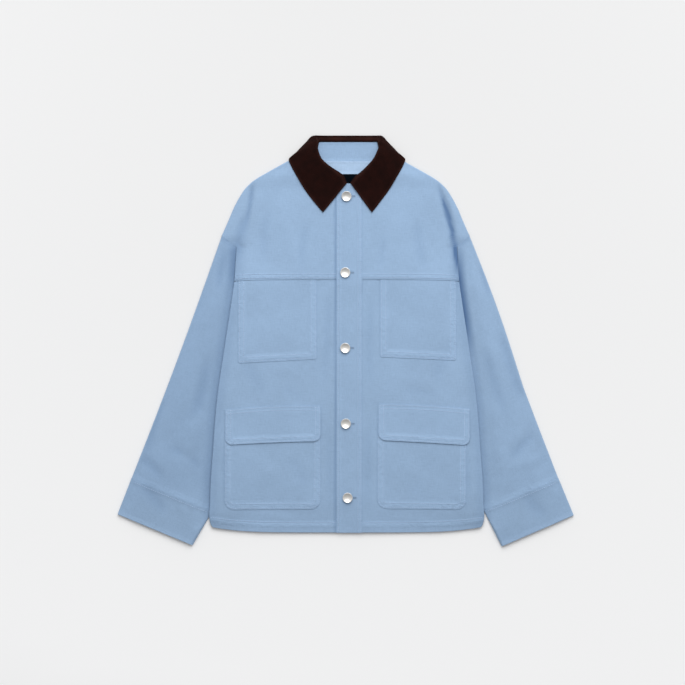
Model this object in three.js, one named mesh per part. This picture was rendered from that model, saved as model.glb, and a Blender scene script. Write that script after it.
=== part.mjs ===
// Chore jacket laid flat with its front up, in millimetres.
// +X is the wearer's left, +Y runs from the hem to the collar and +Z is up from the table.
// The origin is below the middle of the jacket, on the table.
import * as THREE from 'three';

// Cloth thicknesses and the gap kept at every seam
const canvasWall = 1.6;
const pocketWall = 1.4;
const cuffWall = 1.8;
const corduroyWall = 1.8;
const liningWall = 1;
const seamGap = 0.3;
const patchGap = 0.4;
const leafGap = 0.7;
const armholeGap = 0.7;

// A folded edge is a half round of this radius, so a flattened tube is two radii deep
const foldRadius = 2.3;
const tubeDepth = 2 * foldRadius;
const frontPuff = 0.8;
const sleevePuff = 2.6;

// Heights along the jacket, measured from the middle of its length
const hemHeight = -354.8;
const hemSideLift = 9.4;
const yokeSeamHeight = 113.5;
const yokeSeamSideDrop = 2.5;
const yokeLap = 9;
const underarmHeight = 173.6;
const armholeTopHeight = 194.9;
const neckSeamHeight = 332.7;
const placketTopHeight = 290.7;
const collarTopHeight = 380.5;

// Body outline: half widths about the body's middle line, below the armhole
const bodyMiddle = 2;
const bodySections = [
  { height: -346, halfWidth: 248.5 },
  { height: -338, halfWidth: 252.6 },
  { height: -298, halfWidth: 253.1 },
  { height: -195, halfWidth: 247.2 },
  { height: -106, halfWidth: 240 },
  { height: -17, halfWidth: 227.1 },
  { height: 72, halfWidth: 213.6 },
  { height: 111, halfWidth: 208.1 },
  { height: 146, halfWidth: 206 },
  { height: underarmHeight, halfWidth: 204.6 },
];

// Shoulder outline: half widths from the top of the armhole seam to the neck
const shoulderSections = [
  { height: armholeTopHeight, halfWidth: 229.5 },
  { height: 223.6, halfWidth: 216.8 },
  { height: 249.5, halfWidth: 205.7 },
  { height: 268, halfWidth: 195.5 },
  { height: 282.8, halfWidth: 185.5 },
  { height: 297.6, halfWidth: 169 },
  { height: 312.4, halfWidth: 144 },
  { height: neckSeamHeight, halfWidth: 107.6 },
];

// Neckline of the fronts, half an ellipse that hangs from the height of the back neck
const necklineHalfWidth = 78;
const necklineDrop = 42.5;
const collarMiddle = 3.4;

// Sleeve and cuff corners: distances from the middle, and heights
const sleeves = [
  {
    name: 'right',
    side: -1,
    seamOuter: { reach: 396.2, height: -253.7 },
    seamInner: { reach: 246.7, height: -314.8 },
    endOuter: { reach: 422.5, height: -320.9 },
    endInner: { reach: 283.7, height: -378.4 },
  },
  {
    name: 'left',
    side: 1,
    seamOuter: { reach: 393.8, height: -254.1 },
    seamInner: { reach: 255, height: -312 },
    endOuter: { reach: 422.5, height: -322.7 },
    endInner: { reach: 288.9, height: -380.5 },
  },
];
const sleeveSag = 3;
const cuffFlare = 1.5;
// The sleeve's inner edge is tucked under the body, most of all at mid length
const mostTuck = 48;
const tuckStart = 0.06;

// The back rises over the tucked sleeves within this width, and over the collar near the neck
const riseWidth = 100;
const collarLift = corduroyWall + 0.6;
const collarLiftStart = 279;
const collarLiftFull = 311;

// Front closure: the placket covers the meeting edges of the two fronts
const meetingLine = 12;
const placket = { left: -16.8, right: 30.2, bottomHeight: -355.2 };
const buttonRadius = 10;
const buttonPlaces = [
  { x: 1.6, height: 267.8, tilt: 7 },
  { x: -0.8, height: 126.4, tilt: 0 },
  { x: -0.8, height: -13.2, tilt: 0 },
  { x: 0.3, height: -153.1, tilt: 0 },
  { x: 3.6, height: -290.2, tilt: 0 },
];

// Patches on the fronts: x of both edges, and heights at those edges
const patches = [
  { name: 'chest_pocket_right', inner: -53.7, outer: -198.8, innerTop: 122, outerTop: 121,
    innerBottom: -33.6, outerBottom: -41.3, corner: 4, bow: 0 },
  { name: 'chest_pocket_left', inner: 63.7, outer: 204.5, innerTop: 122, outerTop: 120.5,
    innerBottom: -29.8, outerBottom: -36, corner: 4, bow: 0 },
  { name: 'hip_pocket_right', inner: -46.5, outer: -224.1, innerTop: -138, outerTop: -142,
    innerBottom: -311.5, outerBottom: -312.5, corner: 18, bow: 0 },
  { name: 'hip_pocket_left', inner: 58.6, outer: 222.6, innerTop: -137, outerTop: -142,
    innerBottom: -310.5, outerBottom: -312, corner: 18, bow: 0 },
];
const flaps = [
  { name: 'pocket_flap_right', inner: -46.2, outer: -222.3, innerTop: -120.5, outerTop: -127.4,
    innerBottom: -185.5, outerBottom: -192.3, corner: 13, bow: 3.2 },
  { name: 'pocket_flap_left', inner: 60.6, outer: 229.2, innerTop: -116.6, outerTop: -125.9,
    innerBottom: -183.5, outerBottom: -193, corner: 13, bow: 2 },
];

// Largest creases of the fronts: soft troughs from each shoulder down to the armhole
const creases = [
  { fromX: -176, fromHeight: 288, toX: -193, toHeight: 205, halfWidth: 13, depth: 1.1 },
  { fromX: 187, fromHeight: 253, toX: 206, toHeight: 176, halfWidth: 12, depth: 1.3 },
];

// Collar leaf: fold line at the neck, free edge over the yoke, and height of the fold
const leafSections = [
  { foldReach: 3.9, foldHeight: 290.7, foldRise: 0, edgeReach: 45.3, edgeHeight: 238.4 },
  { foldReach: 8.6, foldHeight: 302.6, foldRise: 0.6, edgeReach: 54, edgeHeight: 248.4 },
  { foldReach: 18.5, foldHeight: 308.9, foldRise: 1.6, edgeReach: 62.2, edgeHeight: 258 },
  { foldReach: 34.4, foldHeight: 321.8, foldRise: 3.2, edgeReach: 76.6, edgeHeight: 277 },
  { foldReach: 48.5, foldHeight: 337, foldRise: 4.4, edgeReach: 91.2, edgeHeight: 300.7 },
  { foldReach: 55.1, foldHeight: 352, foldRise: 5, edgeReach: 104.7, edgeHeight: 325.3 },
];
// Collar round the side and back of the neck: inner seam, fold, outer bend and hidden edge
const neckSections = [
  { seam: [53.8, 358, 7], fold: [56.6, 361, 14], bend: [95, 341, 9.4], edge: [109, 336.4, 8.2] },
  { seam: [53.4, 364, 7], fold: [57.2, 367, 13], bend: [96.2, 350.8, 3.2], edge: [95, 339.5, 0] },
  { seam: [52.4, 368, 6], fold: [58, 372.6, 10], bend: [83.4, 365.8, 2.6], edge: [73, 324, 0] },
  { seam: [49, 369.2, 5.8], fold: [58, 377.8, 6.6], bend: [71, 376.6, 2.6], edge: [53, 314, 0] },
  { seam: [43.5, 369.2, 5.4], fold: [45, 380.5, 3], bend: [45, 374, 0], edge: [33, 312, 0] },
  { seam: [0, 369.2, 5.2], fold: [0, 380.5, 2.7], bend: [0, 374, 0], edge: [0, 311, 0] },
];

// Colours of the cloth and metal
const canvasLook = { color: 0x93b0d0, roughness: 0.85, metalness: 0 };
const facingLook = { color: 0xabc4e1, roughness: 0.85, metalness: 0 };
const corduroyLook = { color: 0x23100c, roughness: 0.9, metalness: 0 };
const liningLook = { color: 0x131116, roughness: 0.7, metalness: 0 };
const metalLook = { color: 0xc9c6bf, roughness: 0.3, metalness: 1 };

const jacket = new THREE.Group();

function addPiece(name, geometry, look) {
  const piece = new THREE.Mesh(geometry, new THREE.MeshStandardMaterial(look));
  piece.name = name;
  jacket.add(piece);
  return piece;
}

function mix(from, to, share) {
  return from + (to - from) * share;
}

function ease(from, to, at) {
  const share = Math.min(1, Math.max(0, (at - from) / (to - from)));
  return share * share * (3 - 2 * share);
}

function readTable(rows, key, column, at) {
  let index = 0;
  while (index < rows.length - 2 && at > rows[index + 1][key]) index += 1;
  const low = rows[index];
  const high = rows[index + 1];
  const share = Math.min(1, Math.max(0, (at - low[key]) / (high[key] - low[key])));
  return mix(low[column], high[column], share);
}

function spread(from, to, count) {
  return Array.from({ length: count + 1 }, (_, index) => mix(from, to, index / count));
}

// A wall of cloth: a grid of points on its outer face, and a second grid one wall inside.
// A point may carry its own normal, as on a folded edge.
// Rows and columns run so that the outer face is on their right-hand side.
function clothWall(rows, wall, closedRing = false) {
  const rowCount = rows.length;
  const columnCount = rows[0].length;
  const wrap = (column) => (column + columnCount) % columnCount;
  const outer = [];
  const inner = [];
  rows.forEach((row, r) => row.forEach((point, c) => {
    const before = closedRing ? row[wrap(c - 1)] : row[Math.max(0, c - 1)];
    const after = closedRing ? row[wrap(c + 1)] : row[Math.min(columnCount - 1, c + 1)];
    const below = rows[Math.max(0, r - 1)][c];
    const above = rows[Math.min(rowCount - 1, r + 1)][c];
    const across = new THREE.Vector3().subVectors(after, before);
    const along = new THREE.Vector3().subVectors(above, below);
    const normal = point.normal ?? across.cross(along).normalize();
    outer.push(point);
    inner.push(point.clone().addScaledVector(normal, -wall));
  }));
  const positions = [...outer, ...inner].flatMap((point) => point.toArray());
  const faces = [];
  const quad = (a, b, c, d) => faces.push(a, b, c, a, c, d);
  const at = (r, c) => r * columnCount + wrap(c);
  const inside = outer.length;
  const lastColumn = closedRing ? columnCount : columnCount - 1;
  for (let r = 0; r < rowCount - 1; r += 1) {
    for (let c = 0; c < lastColumn; c += 1) {
      quad(at(r, c), at(r, c + 1), at(r + 1, c + 1), at(r + 1, c));
      quad(inside + at(r, c), inside + at(r + 1, c), inside + at(r + 1, c + 1), inside + at(r, c + 1));
    }
  }
  for (let c = 0; c < lastColumn; c += 1) {
    const top = rowCount - 1;
    quad(at(0, c), inside + at(0, c), inside + at(0, c + 1), at(0, c + 1));
    quad(at(top, c), at(top, c + 1), inside + at(top, c + 1), inside + at(top, c));
  }
  if (!closedRing) {
    const end = columnCount - 1;
    for (let r = 0; r < rowCount - 1; r += 1) {
      quad(at(r, 0), at(r + 1, 0), inside + at(r + 1, 0), inside + at(r, 0));
      quad(at(r, end), inside + at(r, end), inside + at(r + 1, end), at(r + 1, end));
    }
  }
  const geometry = new THREE.BufferGeometry();
  geometry.setAttribute('position', new THREE.Float32BufferAttribute(positions, 3));
  geometry.setIndex(faces);
  geometry.computeVertexNormals();
  return geometry;
}

// Outline of the body on one side, as an x for each height
function bodyEdge(side, height) {
  if (height <= underarmHeight) {
    return bodyMiddle + side * readTable(bodySections, 'height', 'halfWidth', height);
  }
  if (height < armholeTopHeight) {
    const share = (height - underarmHeight) / (armholeTopHeight - underarmHeight);
    return mix(bodyEdge(side, underarmHeight), bodyEdge(side, armholeTopHeight), share);
  }
  return side * readTable(shoulderSections, 'height', 'halfWidth', height);
}

function hemLine(x) {
  const reach = Math.abs(x - bodyMiddle) / bodySections[0].halfWidth;
  return hemHeight + hemSideLift * Math.min(1, reach) ** 5;
}

function yokeSeamLine(x) {
  return yokeSeamHeight - yokeSeamSideDrop * (Math.abs(x) / 205) ** 4;
}

// How far the sleeve reaches in under the body, for a share of the sleeve's length
function tuckAt(sleeve, share) {
  const hidden = Math.min(1, Math.max(0, (share - tuckStart) / (1 - tuckStart)));
  const bodyReach = Math.abs(bodyEdge(sleeve.side, sleeve.seamInner.height));
  const endTuck = bodyReach - sleeve.seamInner.reach;
  return mix(-0.6, endTuck, share) + mostTuck * Math.sin(Math.PI * hidden ** 0.8);
}

function sleeveInnerPoint(sleeve, share) {
  const height = mix(underarmHeight - armholeGap, sleeve.seamInner.height, share);
  return [bodyEdge(sleeve.side, height) - sleeve.side * tuckAt(sleeve, share), height];
}

function sleeveOuterPoint(sleeve, share) {
  const sag = sleeveSag * Math.sin(Math.PI * share);
  const top = Math.abs(bodyEdge(sleeve.side, armholeTopHeight));
  const reach = mix(top, sleeve.seamOuter.reach, share) - sag;
  return [sleeve.side * reach, mix(armholeTopHeight - armholeGap, sleeve.seamOuter.height, share)];
}

// Height of the body's underside above the table
function bodyRise(x, height) {
  const side = x < bodyMiddle ? -1 : 1;
  const sleeve = sleeves.find((entry) => entry.side === side);
  const share = (underarmHeight - height) / (underarmHeight - sleeve.seamInner.height);
  const tuck = tuckAt(sleeve, Math.min(1, Math.max(0, share)));
  const depth = side * (bodyEdge(side, height) - x);
  const overSleeve = 1 - ease(tuck + 3, tuck + 3 + riseWidth, depth);
  const fromUnderarm = 1 - ease(underarmHeight - 26, underarmHeight, height);
  const collarShare = ease(collarLiftStart, collarLiftFull, height);
  return (tubeDepth + seamGap) * overSleeve * fromUnderarm + collarLift * collarShare;
}

function creaseDepth(x, height) {
  return creases.reduce((total, crease) => {
    const alongX = crease.toX - crease.fromX;
    const alongY = crease.toHeight - crease.fromHeight;
    const lengthSquared = alongX * alongX + alongY * alongY;
    const share = ((x - crease.fromX) * alongX + (height - crease.fromHeight) * alongY) / lengthSquared;
    const clamped = Math.min(1, Math.max(0, share));
    const missX = x - crease.fromX - clamped * alongX;
    const missY = height - crease.fromHeight - clamped * alongY;
    const miss = Math.hypot(missX, missY) / crease.halfWidth;
    return total + crease.depth * Math.exp(-miss * miss);
  }, 0);
}

// Upper face of the fronts, before a panel's own laps
function frontTop(x, height) {
  const side = x < bodyMiddle ? -1 : 1;
  const depth = side * (bodyEdge(side, height) - x);
  const puff = frontPuff * ease(0, 40, depth);
  const crease = creaseDepth(x, height) * ease(4, 14, depth);
  return bodyRise(x, height) + tubeDepth + puff - crease;
}

// The yoke laps over the lower front and over the top edges of the chest pockets
const yokeLapLift = canvasWall + pocketWall + 2 * patchGap;

function lapAbove(height) {
  return 1 - ease(yokeSeamHeight + yokeLap + 4, yokeSeamHeight + yokeLap + 30, height);
}

function yokeTop(x, height) {
  return frontTop(x, height) + lapAbove(height) * yokeLapLift;
}

function placketTop(x, height) {
  const below = ease(yokeSeamHeight - 30, yokeSeamHeight - 4, height);
  return frontTop(x, height) + canvasWall + seamGap + lapAbove(height) * below * yokeLapLift;
}

// A panel's column positions from one x to a folded edge, closer together round the fold.
// The wall's upper face drops to the middle of the fold there.
const foldTurns = [30, 60, 90].map((degrees) => THREE.MathUtils.degToRad(degrees));

function foldedColumns(fromX, edgeX, steepness, count, folded) {
  const side = Math.sign(edgeX - fromX);
  const foldWidth = foldRadius / steepness;
  const flat = spread(fromX, edgeX - side * foldWidth, count).map((x) => ({ x, turn: 0 }));
  const round = foldTurns.map((turn) => ({
    x: edgeX - side * foldWidth * (1 - Math.sin(turn)),
    turn: folded ? turn : 0,
  }));
  return [...flat, ...round];
}

// How square the outline stands to the columns, for a fold of even roundness
function edgeSteepness(side, height) {
  if (height <= armholeTopHeight) return 1;
  const slope = (bodyEdge(side, height + 3) - bodyEdge(side, height - 3)) / 6;
  return 1 / Math.hypot(1, slope);
}

function isArmholeSeam(height) {
  return height > underarmHeight - 0.1 && height < armholeTopHeight + 0.1;
}

// Row heights shared by the fronts and the back, so that their faces follow each other
const lowerRows = [
  hemHeight,
  hemHeight + 16,
  ...spread(hemHeight + 32, 78, 9),
  yokeSeamHeight - 3,
];
const upperRows = [
  yokeSeamHeight,
  yokeSeamHeight + yokeLap + 4,
  yokeSeamHeight + yokeLap + 17,
  ...spread(underarmHeight - 26, underarmHeight, 2),
  ...spread(armholeTopHeight, 268, 4),
  ...spread(278, neckSeamHeight, 6),
];
const columnsPerSide = 8;

// Rows follow the curved hem at the bottom and the curved yoke seam above it
function rowLine(x, height) {
  const hemShare = 1 - ease(hemHeight, hemHeight + 60, height);
  const seamShare = ease(0, yokeSeamHeight - 1, height) * (1 - ease(yokeSeamHeight, underarmHeight, height));
  const hemBend = hemShare * (hemLine(x) - hemHeight);
  return height + hemBend + seamShare * (yokeSeamLine(x) - yokeSeamHeight);
}

function sideColumns(side, height, innerX) {
  const edge = bodyEdge(side, Math.max(height, hemHeight + hemSideLift));
  return foldedColumns(innerX, edge, edgeSteepness(side, height), columnsPerSide, !isArmholeSeam(height));
}

// A point where a panel folds over its edge, with the fold's true normal
function foldedPoint(side, column, height, face, middle, upward) {
  const point = new THREE.Vector3(column.x, height, mix(middle, face, Math.cos(column.turn)));
  if (column.turn > 0) {
    const steepness = edgeSteepness(side, height);
    const flat = Math.sin(column.turn);
    point.normal = new THREE.Vector3(
      side * steepness * flat,
      Math.sqrt(1 - steepness * steepness) * flat,
      upward * Math.cos(column.turn),
    );
  }
  return point;
}

// Fronts. The right front is on the negative side and runs from the side to the meeting line.
function frontRow(side, height, innerX, upperFace) {
  const row = sideColumns(side, height, innerX).map((column) => {
    const y = rowLine(column.x, height);
    const middle = bodyRise(column.x, y) + foldRadius + seamGap / 2;
    return foldedPoint(side, column, y, upperFace(column.x, y), middle, 1);
  });
  return side > 0 ? row : row.reverse();
}

function innerFrontX(side) {
  return side > 0 ? meetingLine + seamGap : meetingLine;
}

function neckInnerX(side, height) {
  const below = (neckSeamHeight - height) / necklineDrop;
  if (below >= 1) return innerFrontX(side);
  return collarMiddle + side * necklineHalfWidth * Math.sqrt(1 - below * below);
}

function addYoke(name, side) {
  const rows = upperRows.map((height) => frontRow(side, height, neckInnerX(side, height), yokeTop));
  addPiece(name, clothWall(rows, canvasWall), canvasLook);
}

// The strip of a lower front that lies under the yoke stays inside the yoke's folded edge
function lapRow(side, offset) {
  const limit = bodyEdge(side, yokeSeamHeight) - side * 6;
  const columns = [
    ...spread(innerFrontX(side), limit, columnsPerSide),
    ...foldTurns.map((_, index) => limit + side * 0.6 * (index + 1)),
  ];
  const row = columns.map((x) => {
    const height = yokeSeamLine(x) + offset;
    return new THREE.Vector3(x, height, frontTop(x, height));
  });
  return side > 0 ? row : row.reverse();
}

function addLowerFront(name, side) {
  const rows = lowerRows.map((height) => frontRow(side, height, innerFrontX(side), frontTop));
  rows.push(lapRow(side, -seamGap), lapRow(side, yokeLap));
  addPiece(name, clothWall(rows, canvasWall), canvasLook);
}

// Back: one panel whose lower face rests on the table, with folded sides
function addBack() {
  const rows = [...lowerRows.slice(0, -1), ...upperRows].map((height) => {
    const fromLeft = sideColumns(1, height, bodyMiddle).reverse().map((column) => [1, column]);
    const fromMiddle = sideColumns(-1, height, bodyMiddle).slice(1).map((column) => [-1, column]);
    return [...fromLeft, ...fromMiddle].map(([side, column]) => {
      const y = rowLine(column.x, height);
      const low = bodyRise(column.x, y);
      return foldedPoint(side, column, y, low, low + foldRadius - seamGap / 2, -1);
    });
  });
  addPiece('back', clothWall(rows, canvasWall), canvasLook);
}

// A flattened tube across the line from its outer to its inner point
function flatRing(outer, inner, upperPuff) {
  const width = Math.hypot(inner[0] - outer[0], inner[1] - outer[1]);
  const place = (across, z) => {
    const share = across / width;
    return new THREE.Vector3(mix(outer[0], inner[0], share), mix(outer[1], inner[1], share), z);
  };
  const upper = spread(foldRadius, width - foldRadius, 8).map((across) => {
    const point = place(across, tubeDepth);
    point.z += upperPuff(point.x, point.y, across);
    return point;
  });
  const turns = [-45, 0, 45].map((degrees) => THREE.MathUtils.degToRad(degrees));
  const innerEnd = turns.map((turn) => place(
    width - foldRadius * (1 - Math.cos(turn)),
    foldRadius - foldRadius * Math.sin(turn),
  ));
  const lower = spread(width - foldRadius, foldRadius, 5).map((across) => place(across, 0));
  const outerEnd = turns.map((turn) => place(
    foldRadius * (1 - Math.cos(turn)),
    foldRadius + foldRadius * Math.sin(turn),
  ));
  return [...upper, ...innerEnd, ...lower, ...outerEnd];
}

function addSleeve(sleeve) {
  const puffAt = (x, height, across) => {
    const clear = sleeve.side * (x - bodyEdge(sleeve.side, height));
    return sleevePuff * ease(3, 45, clear) * ease(0, 40, across);
  };
  const shares = [0, 0.05, ...spread(0.12, 1, 9)];
  const rings = shares.map((share) => {
    const outer = sleeveOuterPoint(sleeve, share);
    const inner = sleeveInnerPoint(sleeve, share);
    const fade = ease(0, 0.15, share);
    return flatRing(outer, inner, (x, y, across) => fade * puffAt(x, y, across));
  });
  const ordered = sleeve.side < 0 ? rings.reverse() : rings;
  addPiece(`sleeve_${sleeve.name}`, clothWall(ordered, canvasWall, true), canvasLook);

  const cuffRings = spread(0, 1, 3).map((share) => {
    const gap = (1 - share) * 2 * seamGap;
    const along = (from, to, key) => mix(from[key], to[key], share);
    const outer = [
      sleeve.side * (along(sleeve.seamOuter, sleeve.endOuter, 'reach') + cuffFlare * (1 - share)),
      along(sleeve.seamOuter, sleeve.endOuter, 'height') - gap,
    ];
    const inner = [
      sleeve.side * along(sleeve.seamInner, sleeve.endInner, 'reach'),
      along(sleeve.seamInner, sleeve.endInner, 'height') - gap,
    ];
    return flatRing(outer, inner, puffAt);
  });
  const orderedCuff = sleeve.side < 0 ? cuffRings.reverse() : cuffRings;
  addPiece(`cuff_${sleeve.name}`, clothWall(orderedCuff, cuffWall, true), canvasLook);
}

// A patch sewn on a front, with rounded lower corners
function patchRows(patch, stepCount, upperFace) {
  const middleHeight = (share, x) => {
    const top = mix(patch.innerTop, patch.outerTop, share);
    const bottom = mix(patch.innerBottom, patch.outerBottom, share);
    const bow = patch.bow * 4 * share * (1 - share);
    return { top: top + bow, bottom: bottom + bow * 0.3, x };
  };
  const cornerTurns = [0, 35, 65, 90].map((degrees) => THREE.MathUtils.degToRad(degrees));
  const depth = patch.innerTop - patch.innerBottom;
  const levels = [
    ...cornerTurns.map((turn) => ({
      up: patch.corner * (1 - Math.cos(turn)),
      inset: patch.corner * (1 - Math.sin(turn)),
    })),
    ...spread(patch.corner, depth, stepCount).slice(1).map((up) => ({ up, inset: 0 })),
  ];
  const inward = Math.sign(patch.outer - patch.inner);
  return levels.map((level) => {
    const columns = spread(patch.inner + inward * level.inset, patch.outer - inward * level.inset, 10);
    const ordered = inward > 0 ? columns : columns.reverse();
    return ordered.map((x) => {
      const share = (x - patch.inner) / (patch.outer - patch.inner);
      const edges = middleHeight(share, x);
      const y = mix(edges.bottom, edges.top, level.up / depth);
      return new THREE.Vector3(x, y, upperFace(x, y));
    });
  });
}

function addPatches() {
  const onFront = (x, height) => frontTop(x, height) + patchGap + pocketWall;
  patches.forEach((patch) => {
    addPiece(patch.name, clothWall(patchRows(patch, 7, onFront), pocketWall), canvasLook);
  });
  flaps.forEach((flap) => {
    const overPocket = (x, height) => {
      const cover = 1 - ease(flap.outerTop - 7, flap.outerTop + 6, height);
      return onFront(x, height) + cover * (pocketWall + patchGap);
    };
    addPiece(flap.name, clothWall(patchRows(flap, 7, overPocket), pocketWall), canvasLook);
  });
}

function addPlacket() {
  const heights = [
    ...spread(placket.bottomHeight, yokeSeamHeight - 36, 8),
    ...spread(yokeSeamHeight - 24, yokeSeamHeight + yokeLap + 30, 6),
    ...spread(190, placketTopHeight, 4),
  ];
  const rows = heights.map((height) => spread(placket.left, placket.right, 4).map(
    (x) => new THREE.Vector3(x, height, placketTop(x, height)),
  ));
  addPiece('placket', clothWall(rows, canvasWall), canvasLook);
}

function addButtons() {
  const profile = [
    [0, 0],
    [3, 0],
    [3.4, 1],
    [8.6, 1.3],
    [buttonRadius, 2.4],
    [9.4, 3.5],
    [7.4, 3.3],
    [4, 2.7],
    [0, 2.5],
  ].map(([radius, z]) => new THREE.Vector2(radius, z));
  buttonPlaces.forEach((place, index) => {
    const geometry = new THREE.LatheGeometry(profile, 14);
    geometry.rotateX(Math.PI / 2);
    const button = addPiece(`button_${index + 1}`, geometry, metalLook);
    const lift = seamGap + 3.4 * Math.sin(THREE.MathUtils.degToRad(place.tilt));
    button.position.set(place.x, place.height, placketTop(place.x, place.height) + lift);
    button.rotation.x = THREE.MathUtils.degToRad(place.tilt);
  });
}

// Height of whatever a collar leaf lies on: the yoke, or the placket on it
function underLeaf(x, height) {
  const onPlacket = ease(placket.left - 30, placket.left - 1, x)
    * (1 - ease(placket.right + 1, placket.right + 30, x));
  return frontTop(x, height) + (canvasWall + seamGap) * onPlacket;
}

// Collar sections of one half, from the front tip to the back neck, as seam, fold, bend, edge
function collarHalf(side) {
  const place = (reach, height, z) => new THREE.Vector3(collarMiddle + side * reach, height, z);
  const leafTop = (reach, height) => (
    underLeaf(collarMiddle + side * reach, height) + leafGap + corduroyWall
  );
  const leaves = leafSections.map((row) => {
    const bendReach = mix(row.foldReach, row.edgeReach, 0.55);
    const bendHeight = mix(row.foldHeight, row.edgeHeight, 0.55);
    const foldZ = leafTop(row.foldReach, row.foldHeight) + row.foldRise;
    const lip = Math.min(row.foldRise, 2.4);
    return [
      place(row.foldReach - 1.2 - lip * 0.5, row.foldHeight + 1, foldZ - 1 - row.foldRise),
      place(row.foldReach, row.foldHeight, foldZ),
      place(bendReach, bendHeight, leafTop(bendReach, bendHeight) + row.foldRise * 0.45),
      place(row.edgeReach, row.edgeHeight, leafTop(row.edgeReach, row.edgeHeight)),
    ];
  });
  const neck = neckSections.map((row) => (
    [row.seam, row.fold, row.bend, row.edge].map((point) => place(...point))
  ));
  return [...leaves, ...neck];
}

function addCollarFall() {
  const rightHalf = collarHalf(-1);
  const leftHalf = collarHalf(1).slice(0, -1).reverse();
  const sections = [...rightHalf, ...leftHalf];
  const lengthwise = sections[0].map((_, corner) => (
    new THREE.CatmullRomCurve3(sections.map((section) => section[corner]), false, 'centripetal')
  ));
  const stepsPerSection = 2;
  const stepCount = (sections.length - 1) * stepsPerSection;
  const rows = spread(0, 1, stepCount).map((share) => {
    const corners = lengthwise.map((curve) => curve.getPoint(share));
    const points = new THREE.CatmullRomCurve3(corners, false, 'centripetal').getPoints(9).reverse();
    points.forEach((point) => {
      point.z = Math.max(0, point.z);
      point.y = Math.min(collarTopHeight, point.y);
    });
    return points;
  });
  addPiece('collar_fall', clothWall(rows, corduroyWall), corduroyLook);
}

// Flat strips inside the back neck, each a row of left and right ends
function addNeckStrip(name, wall, look, lowHeight, highHeight, halfWidth, topFace) {
  const rows = spread(lowHeight, highHeight, 3).map((height) => (
    spread(collarMiddle - halfWidth, collarMiddle + halfWidth, 8).map(
      (x) => new THREE.Vector3(x, height, topFace(x, height)),
    )
  ));
  addPiece(name, clothWall(rows, wall), look);
}

function addNeck() {
  const onBack = (x, height) => bodyRise(x, height) + canvasWall + seamGap + liningWall;
  const facingBottom = 309;
  const standTop = 368;
  const standFace = () => collarLift + canvasWall + 0.6;
  addNeckStrip('back_neck_facing', liningWall, facingLook, facingBottom, neckSeamHeight, 70, onBack);
  addNeckStrip('back_lining', liningWall, liningLook, 262, facingBottom - seamGap, 66, onBack);
  addNeckStrip('collar_stand', canvasWall, canvasLook, neckSeamHeight + seamGap, standTop, 62, standFace);
}

addBack();
addLowerFront('front_right', -1);
addLowerFront('front_left', 1);
addYoke('yoke_right', -1);
addYoke('yoke_left', 1);
sleeves.forEach(addSleeve);
addNeck();
addCollarFall();
addPatches();
addPlacket();
addButtons();

export default jacket;
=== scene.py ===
"""Chore jacket laid flat, front up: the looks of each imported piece, in millimetres until a mesh is made."""
import math
from collections import namedtuple

import bpy
import numpy as np
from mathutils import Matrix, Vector


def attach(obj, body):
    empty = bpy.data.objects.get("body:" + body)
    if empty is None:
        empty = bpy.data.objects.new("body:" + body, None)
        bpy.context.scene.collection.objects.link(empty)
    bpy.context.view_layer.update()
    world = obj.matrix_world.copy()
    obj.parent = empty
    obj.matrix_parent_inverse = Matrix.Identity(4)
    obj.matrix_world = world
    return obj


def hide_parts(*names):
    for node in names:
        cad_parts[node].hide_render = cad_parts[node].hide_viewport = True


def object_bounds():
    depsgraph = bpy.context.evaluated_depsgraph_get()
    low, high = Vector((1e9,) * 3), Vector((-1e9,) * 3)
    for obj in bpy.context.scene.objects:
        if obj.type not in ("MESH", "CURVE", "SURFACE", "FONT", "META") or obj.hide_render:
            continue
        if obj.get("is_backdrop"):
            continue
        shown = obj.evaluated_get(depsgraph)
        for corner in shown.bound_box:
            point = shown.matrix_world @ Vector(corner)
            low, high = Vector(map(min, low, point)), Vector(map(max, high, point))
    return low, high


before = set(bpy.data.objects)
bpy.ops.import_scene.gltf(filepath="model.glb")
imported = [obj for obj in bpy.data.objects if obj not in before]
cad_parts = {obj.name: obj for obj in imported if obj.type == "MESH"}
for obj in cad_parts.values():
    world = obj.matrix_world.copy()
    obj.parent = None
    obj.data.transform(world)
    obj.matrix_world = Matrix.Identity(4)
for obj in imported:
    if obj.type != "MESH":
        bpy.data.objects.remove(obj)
cad_box = [list(corner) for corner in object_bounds()]

METRE = 0.001

# Thickness of each cloth, less than the solids' walls on the same outer form, and the gaps between pieces
CANVAS_WALL = 0.8
POCKET_WALL = 0.65
PRESSED_EDGE = 0.4
CUFF_WALL = 1.2
CORDUROY_WALL = 1.6
LINING_WALL = 0.6
SEAM_GAP = 0.3
PATCH_GAP = 0.1
PLACKET_GAP = 0.15
LEAF_GAP = 0.7
ARMHOLE_GAP = 0.35

# How high folds and faces stand, and what presses or sinks them
FOLD_RADIUS = 2.3
TUBE_DEPTH = 2 * FOLD_RADIUS
FRONT_PUFF = 2.0
SLEEVE_PUFF = 5.6
SLEEVE_PRESS = 0.5
UNDERARM_PRESS = 0.24
EDGE_SINK = 2.2
FLAP_LIFT = 1.1
FLAP_LIFT_REACH = 52
HEM_SINK = 0.7
HEM_SINK_REACH = 70
LEAST_DEPTH = 2.1

# Heights along the jacket, from the middle of its length
HEM = -354.8
HEM_SIDE_LIFT = 9.4
YOKE_SEAM = 113.5
YOKE_SEAM_SIDE_DROP = 2.5
YOKE_LAP = 9
UNDERARM = 173.6
ARMHOLE_TOP = 194.9
SHOULDER_BEND = 280
NECK_SEAM = 332.7
FACING_BOTTOM = 309
LINING_BOTTOM = 262
STAND_TOP = 368
PLACKET_TOP = 290.7
COLLAR_TOP = 380.5

# Places across the jacket
BODY_MIDDLE = 2
COLLAR_MIDDLE = 3.4
NECKLINE_HALF_WIDTH = 78
NECKLINE_DROP = 42.5
MEETING_LINE = 12

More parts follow.
